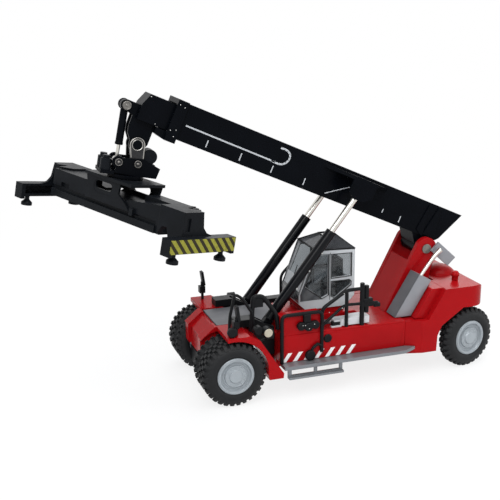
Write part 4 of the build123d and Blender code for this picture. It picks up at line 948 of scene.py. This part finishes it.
# The link's and the damper's lower pins in the yoke, and the pin at the head's top ear.
LOW_PINS, TOP_PIN = ((-0.7, -5.7), (5.3, -5.7)), (114.8, 7.7)
# The end of such a pin: the ring's radius, thickness and y, and its head's radius and y.
LOW_END, TOP_END = (1.05, 0.14, 4.22, 0.42, 4.2), (1.15, 0.15, 3.2, 0.45, 3.18)
PIN_HEAD_HEIGHT = 0.18


def add_link_rims(side, sign):
    """The raised rim of a bright link plate, and the ring round its pin."""
    rim = Piece(f"link_rims_{side}", "yoke", "rim", "bright_metal")
    arc = [(LINK_RIM_R * cos(radians(a)), LINK_RIM_R * sin(radians(a))) for a in LINK_ARC]
    front_x, rear_x = LINK_LEGS_X
    line = [(front_x, LINK_FOOT_Z), *arc, (rear_x, LINK_FOOT_Z)]
    rim.tube_in(YOKE, [(x, sign * LINK_FACE_Y, z) for x, z in line], LINK_RIM_THICK, 8)
    ring = [(x, sign * (LINK_FACE_Y + TILT_RING_OUT), z) for x, z in circle(TILT_RING_R, 24)]
    rim.tube_in(YOKE, ring, TILT_RING_THICK, 8)
    rim.done()


def add_tilt_pin_head(side, sign):
    """The dark head of the tilting pin."""
    head = Piece(f"tilt_pin_head_{side}", "yoke", "black", "black_paint")
    head.disc(YOKE, (0, 0, 0), TILT_HEAD_R, depths(sign, *TILT_HEAD_Y))
    head.done()


def pin_end(piece, place, centre, sign, end):
    """A ring on a pin's end with a domed head in it."""
    ring_r, thick, ring_y, head_r, head_y = end
    piece.tube_in(place, [(u, sign * ring_y, w) for u, w in circle(ring_r, 24, centre)], thick, 6)
    piece.screw(place, (centre[0], sign * head_y, centre[1]), head_r, PIN_HEAD_HEIGHT, sign)


def add_pin_rings(side, sign):
    """The ends of the yoke's two lower pins and of the pin in the boom's head."""
    low = Piece(f"pin_rings_{side}", "yoke", "pin", "bright_metal")
    for pin in LOW_PINS:
        pin_end(low, YOKE, pin, sign, LOW_END)
    low.done()
    top = Piece(f"top_pin_ring_{side}", "boom_slide", "pin", "bright_metal")
    pin_end(top, BOOM, TOP_PIN, sign, TOP_END)
    top.done()


# ---- details of the spreader
VALVE_BLOCK = ((-5.5, -3.0), (-6.4, -0.9), (12.75, 16.2))
# The square window of the CAD frame and the oval one in it, each y and z from and to.
WINDOW_Y, WINDOW_Z = (-6.95, 3.15), (11.35, 15.35)
OVAL_Y, OVAL_Z, OVAL_CORNER_R = (-6.3, 1.7), (12.75, 15.2), 1.2
WINDOW_X = (5.55, 6.12)
CORNER_STEPS, CORNER_STEP = 6, 15


def add_beam_fittings():
    """The hydraulic block that hangs inside the centre frame."""
    block = Piece("beam_valve_block", "spreader", "dark", "black_plastic")
    block.block(SPREADER, *VALVE_BLOCK)
    block.done(bevel=0.15)


def window_outlines():
    """The oval opening's outline, and the square window's with a point beside each of the oval's."""
    y0, y1 = OVAL_Y[0] + OVAL_CORNER_R, OVAL_Y[1] - OVAL_CORNER_R
    z0, z1 = OVAL_Z[0] + OVAL_CORNER_R, OVAL_Z[1] - OVAL_CORNER_R
    inner, outer = [], []
    for cy, cz, start in ((y1, z1, 0), (y0, z1, 90), (y0, z0, 180), (y1, z0, 270)):
        for step in range(CORNER_STEPS + 1):
            a = radians(start + CORNER_STEP * step)
            u, w = cos(a), sin(a)
            y, z = cy + OVAL_CORNER_R * u, cz + OVAL_CORNER_R * w
            inner.append((y, z))
            wall_y = WINDOW_Y[1] if u > 0 else WINDOW_Y[0]
            wall_z = WINDOW_Z[1] if w > 0 else WINDOW_Z[0]
            if 2 * step == CORNER_STEPS:
                outer.append((wall_y, wall_z))
            else:
                outer.append((wall_y, z) if abs(u) > abs(w) else (y, wall_z))
    return inner, outer


def add_frame_windows():
    """Narrows the windows of the centre frame to their rounded openings."""
    inner, outer = window_outlines()
    x0, x1 = WINDOW_X
    for name, place in (("near", SPREADER), ("far", FAR_SPREADER)):
        piece = Piece(f"frame_window_{name}", "spreader", "slate", "black_paint")
        rings = []
        for a, b in zip(outer, inner):
            spots = ((x0, *a), (x0, *b), (x1, *b), (x1, *a))
            rings.append([piece.bm.verts.new(place.at(*spot)) for spot in spots])
        piece.rings(rings, close=True)
        piece.done(smooth=30)


# ---- light and floor
WHITE = (1, 1, 1, 1)
SKY_LIGHT, SKY_STRENGTH = (0.95, 0.97, 1.0, 1), 0.3
FLOOR_HALF_M, FLOOR_COLOUR = 20.0, (0.86, 0.87, 0.88, 1)
# The floor turns white between two distances from its middle; nearer, this share of it is white.
FADE_FROM_M, FADE_TO_M, WHITE_NEAR = 0.07, 0.30, 0.82
LIT_MIDDLE = (0, 0, 0.04)
# Name, place, size in metres and power of each lamp.
LAMPS = (
    ("key", (0.25, 0.45, 0.55), 0.5, 3.8),
    ("top", (-0.05, 0.0, 0.75), 0.6, 3.6),
    ("fill", (-0.55, 0.35, 0.25), 0.4, 1.3),
    ("back", (-0.4, -0.55, 0.45), 0.5, 1.3),
)


def add_lamps():
    """Square lamps that look at the middle of the machine."""
    for name, place, size, power in LAMPS:
        data = bpy.data.lights.new(name, "AREA")
        data.shape = "SQUARE"
        data.size = size
        data.energy = power
        lamp = bpy.data.objects.new(name, data)
        away = (Vector(place) - Vector(LIT_MIDDLE)).normalized()
        turn = away.to_track_quat("Z", "Y").to_matrix().to_4x4()
        lamp.matrix_world = Matrix.Translation(place) @ turn
        bpy.context.scene.collection.objects.link(lamp)


def white_share(tree):
    """One where the camera, a reflection or glass looks, and nought for the light on the object."""
    path = new_node(tree, "LightPath", {})
    total = path.outputs["Is Camera Ray"]
    for kind in ("Is Glossy Ray", "Is Transmission Ray"):
        node = new_node(tree, "Math", {})
        node.operation = "MAXIMUM"
        tree.links.new(total, node.inputs[0])
        tree.links.new(path.outputs[kind], node.inputs[1])
        total = node.outputs[0]
    return total


def mixed(tree, share, plain, white, target):
    """Links a mix of two shaders to an output's surface."""
    mix = new_node(tree, "MixShader", {})
    tree.links.new(share, mix.inputs[0])
    tree.links.new(plain.outputs[0], mix.inputs[1])
    tree.links.new(white.outputs[0], mix.inputs[2])
    tree.links.new(mix.outputs[0], tree.nodes[target].inputs["Surface"])


def add_sky():
    """A faint even light that is seen as white."""
    world = bpy.data.worlds.new("studio")
    bpy.context.scene.world = world
    world.use_nodes = True
    tree = world.node_tree
    light = tree.nodes["Background"]
    set_inputs(light, {"Color": SKY_LIGHT, "Strength": SKY_STRENGTH})
    seen = new_node(tree, "Background", {"Color": WHITE, "Strength": 1.0})
    mixed(tree, white_share(tree), light, seen, "World Output")


def floor_finish():
    """Pale matt that keeps a soft shadow near the object, and is white further out."""
    mat, tree, bsdf = new_surface("pale_floor")
    tree.nodes.remove(bsdf)
    matt = new_node(tree, "BsdfDiffuse", {"Color": FLOOR_COLOUR})
    glow = new_node(tree, "Emission", {"Color": WHITE})
    length = new_node(tree, "VectorMath", {})
    length.operation = "LENGTH"
    tree.links.new(new_node(tree, "TexCoord", {}).outputs["Object"], length.inputs[0])
    fade = new_node(tree, "MapRange", {
        "From Min": FADE_FROM_M, "From Max": FADE_TO_M, "To Min": WHITE_NEAR, "To Max": 1.0,
    })
    fade.interpolation_type = "SMOOTHSTEP"
    tree.links.new(length.outputs["Value"], fade.inputs["Value"])
    share = new_node(tree, "Math", {})
    share.operation = "MULTIPLY"
    tree.links.new(fade.outputs["Result"], share.inputs[0])
    tree.links.new(white_share(tree), share.inputs[1])
    mixed(tree, share.outputs[0], matt, glow, "Material Output")
    return mat


def add_floor():
    """A wide floor under the wheels."""
    mesh = bpy.data.meshes.new("floor")
    half = FLOOR_HALF_M
    corners = [(-half, -half, 0), (half, -half, 0), (half, half, 0), (-half, half, 0)]
    mesh.from_pydata(corners, [], [(0, 1, 2, 3)])
    floor = bpy.data.objects.new("floor", mesh)
    bpy.context.scene.collection.objects.link(floor)
    mesh.materials.append(floor_finish())


bpy.context.scene.view_settings.view_transform = "Standard"
add_camera()
add_sky()
add_floor()
add_lamps()
dress_nodes()
add_tyres()
add_rim_nuts()
add_marks()
add_hazard_stripes()
add_hull()
add_rails()
add_rear_fillings()
add_side_plate("left", 1)
add_left_fittings()
add_boxes("side_boxes_left", "pale", "white_plastic", PALE_BOXES, 0.15)
add_left_lens()
add_left_screws()
add_side_plate("right", -1)
add_boxes("side_fittings_right", "dark", "black_plastic", RIGHT_BLOCKS, 0.2)
add_cab_gaskets()
add_cab_panes()
add_cab_roof_frame()
add_tailpipe()
add_boom_plates()
add_screws("boom_screws", "boom", COLLAR_SCREWS, COLLAR_Y)
add_screws("inner_boom_screws", "boom_slide", NECK_SCREWS, NECK_Y)
add_barrel_rivets()
add_damper()
for side, sign in SIDES:
    add_link_rims(side, sign)
    add_tilt_pin_head(side, sign)
    add_pin_rings(side, sign)
add_beam_fittings()
add_frame_windows()
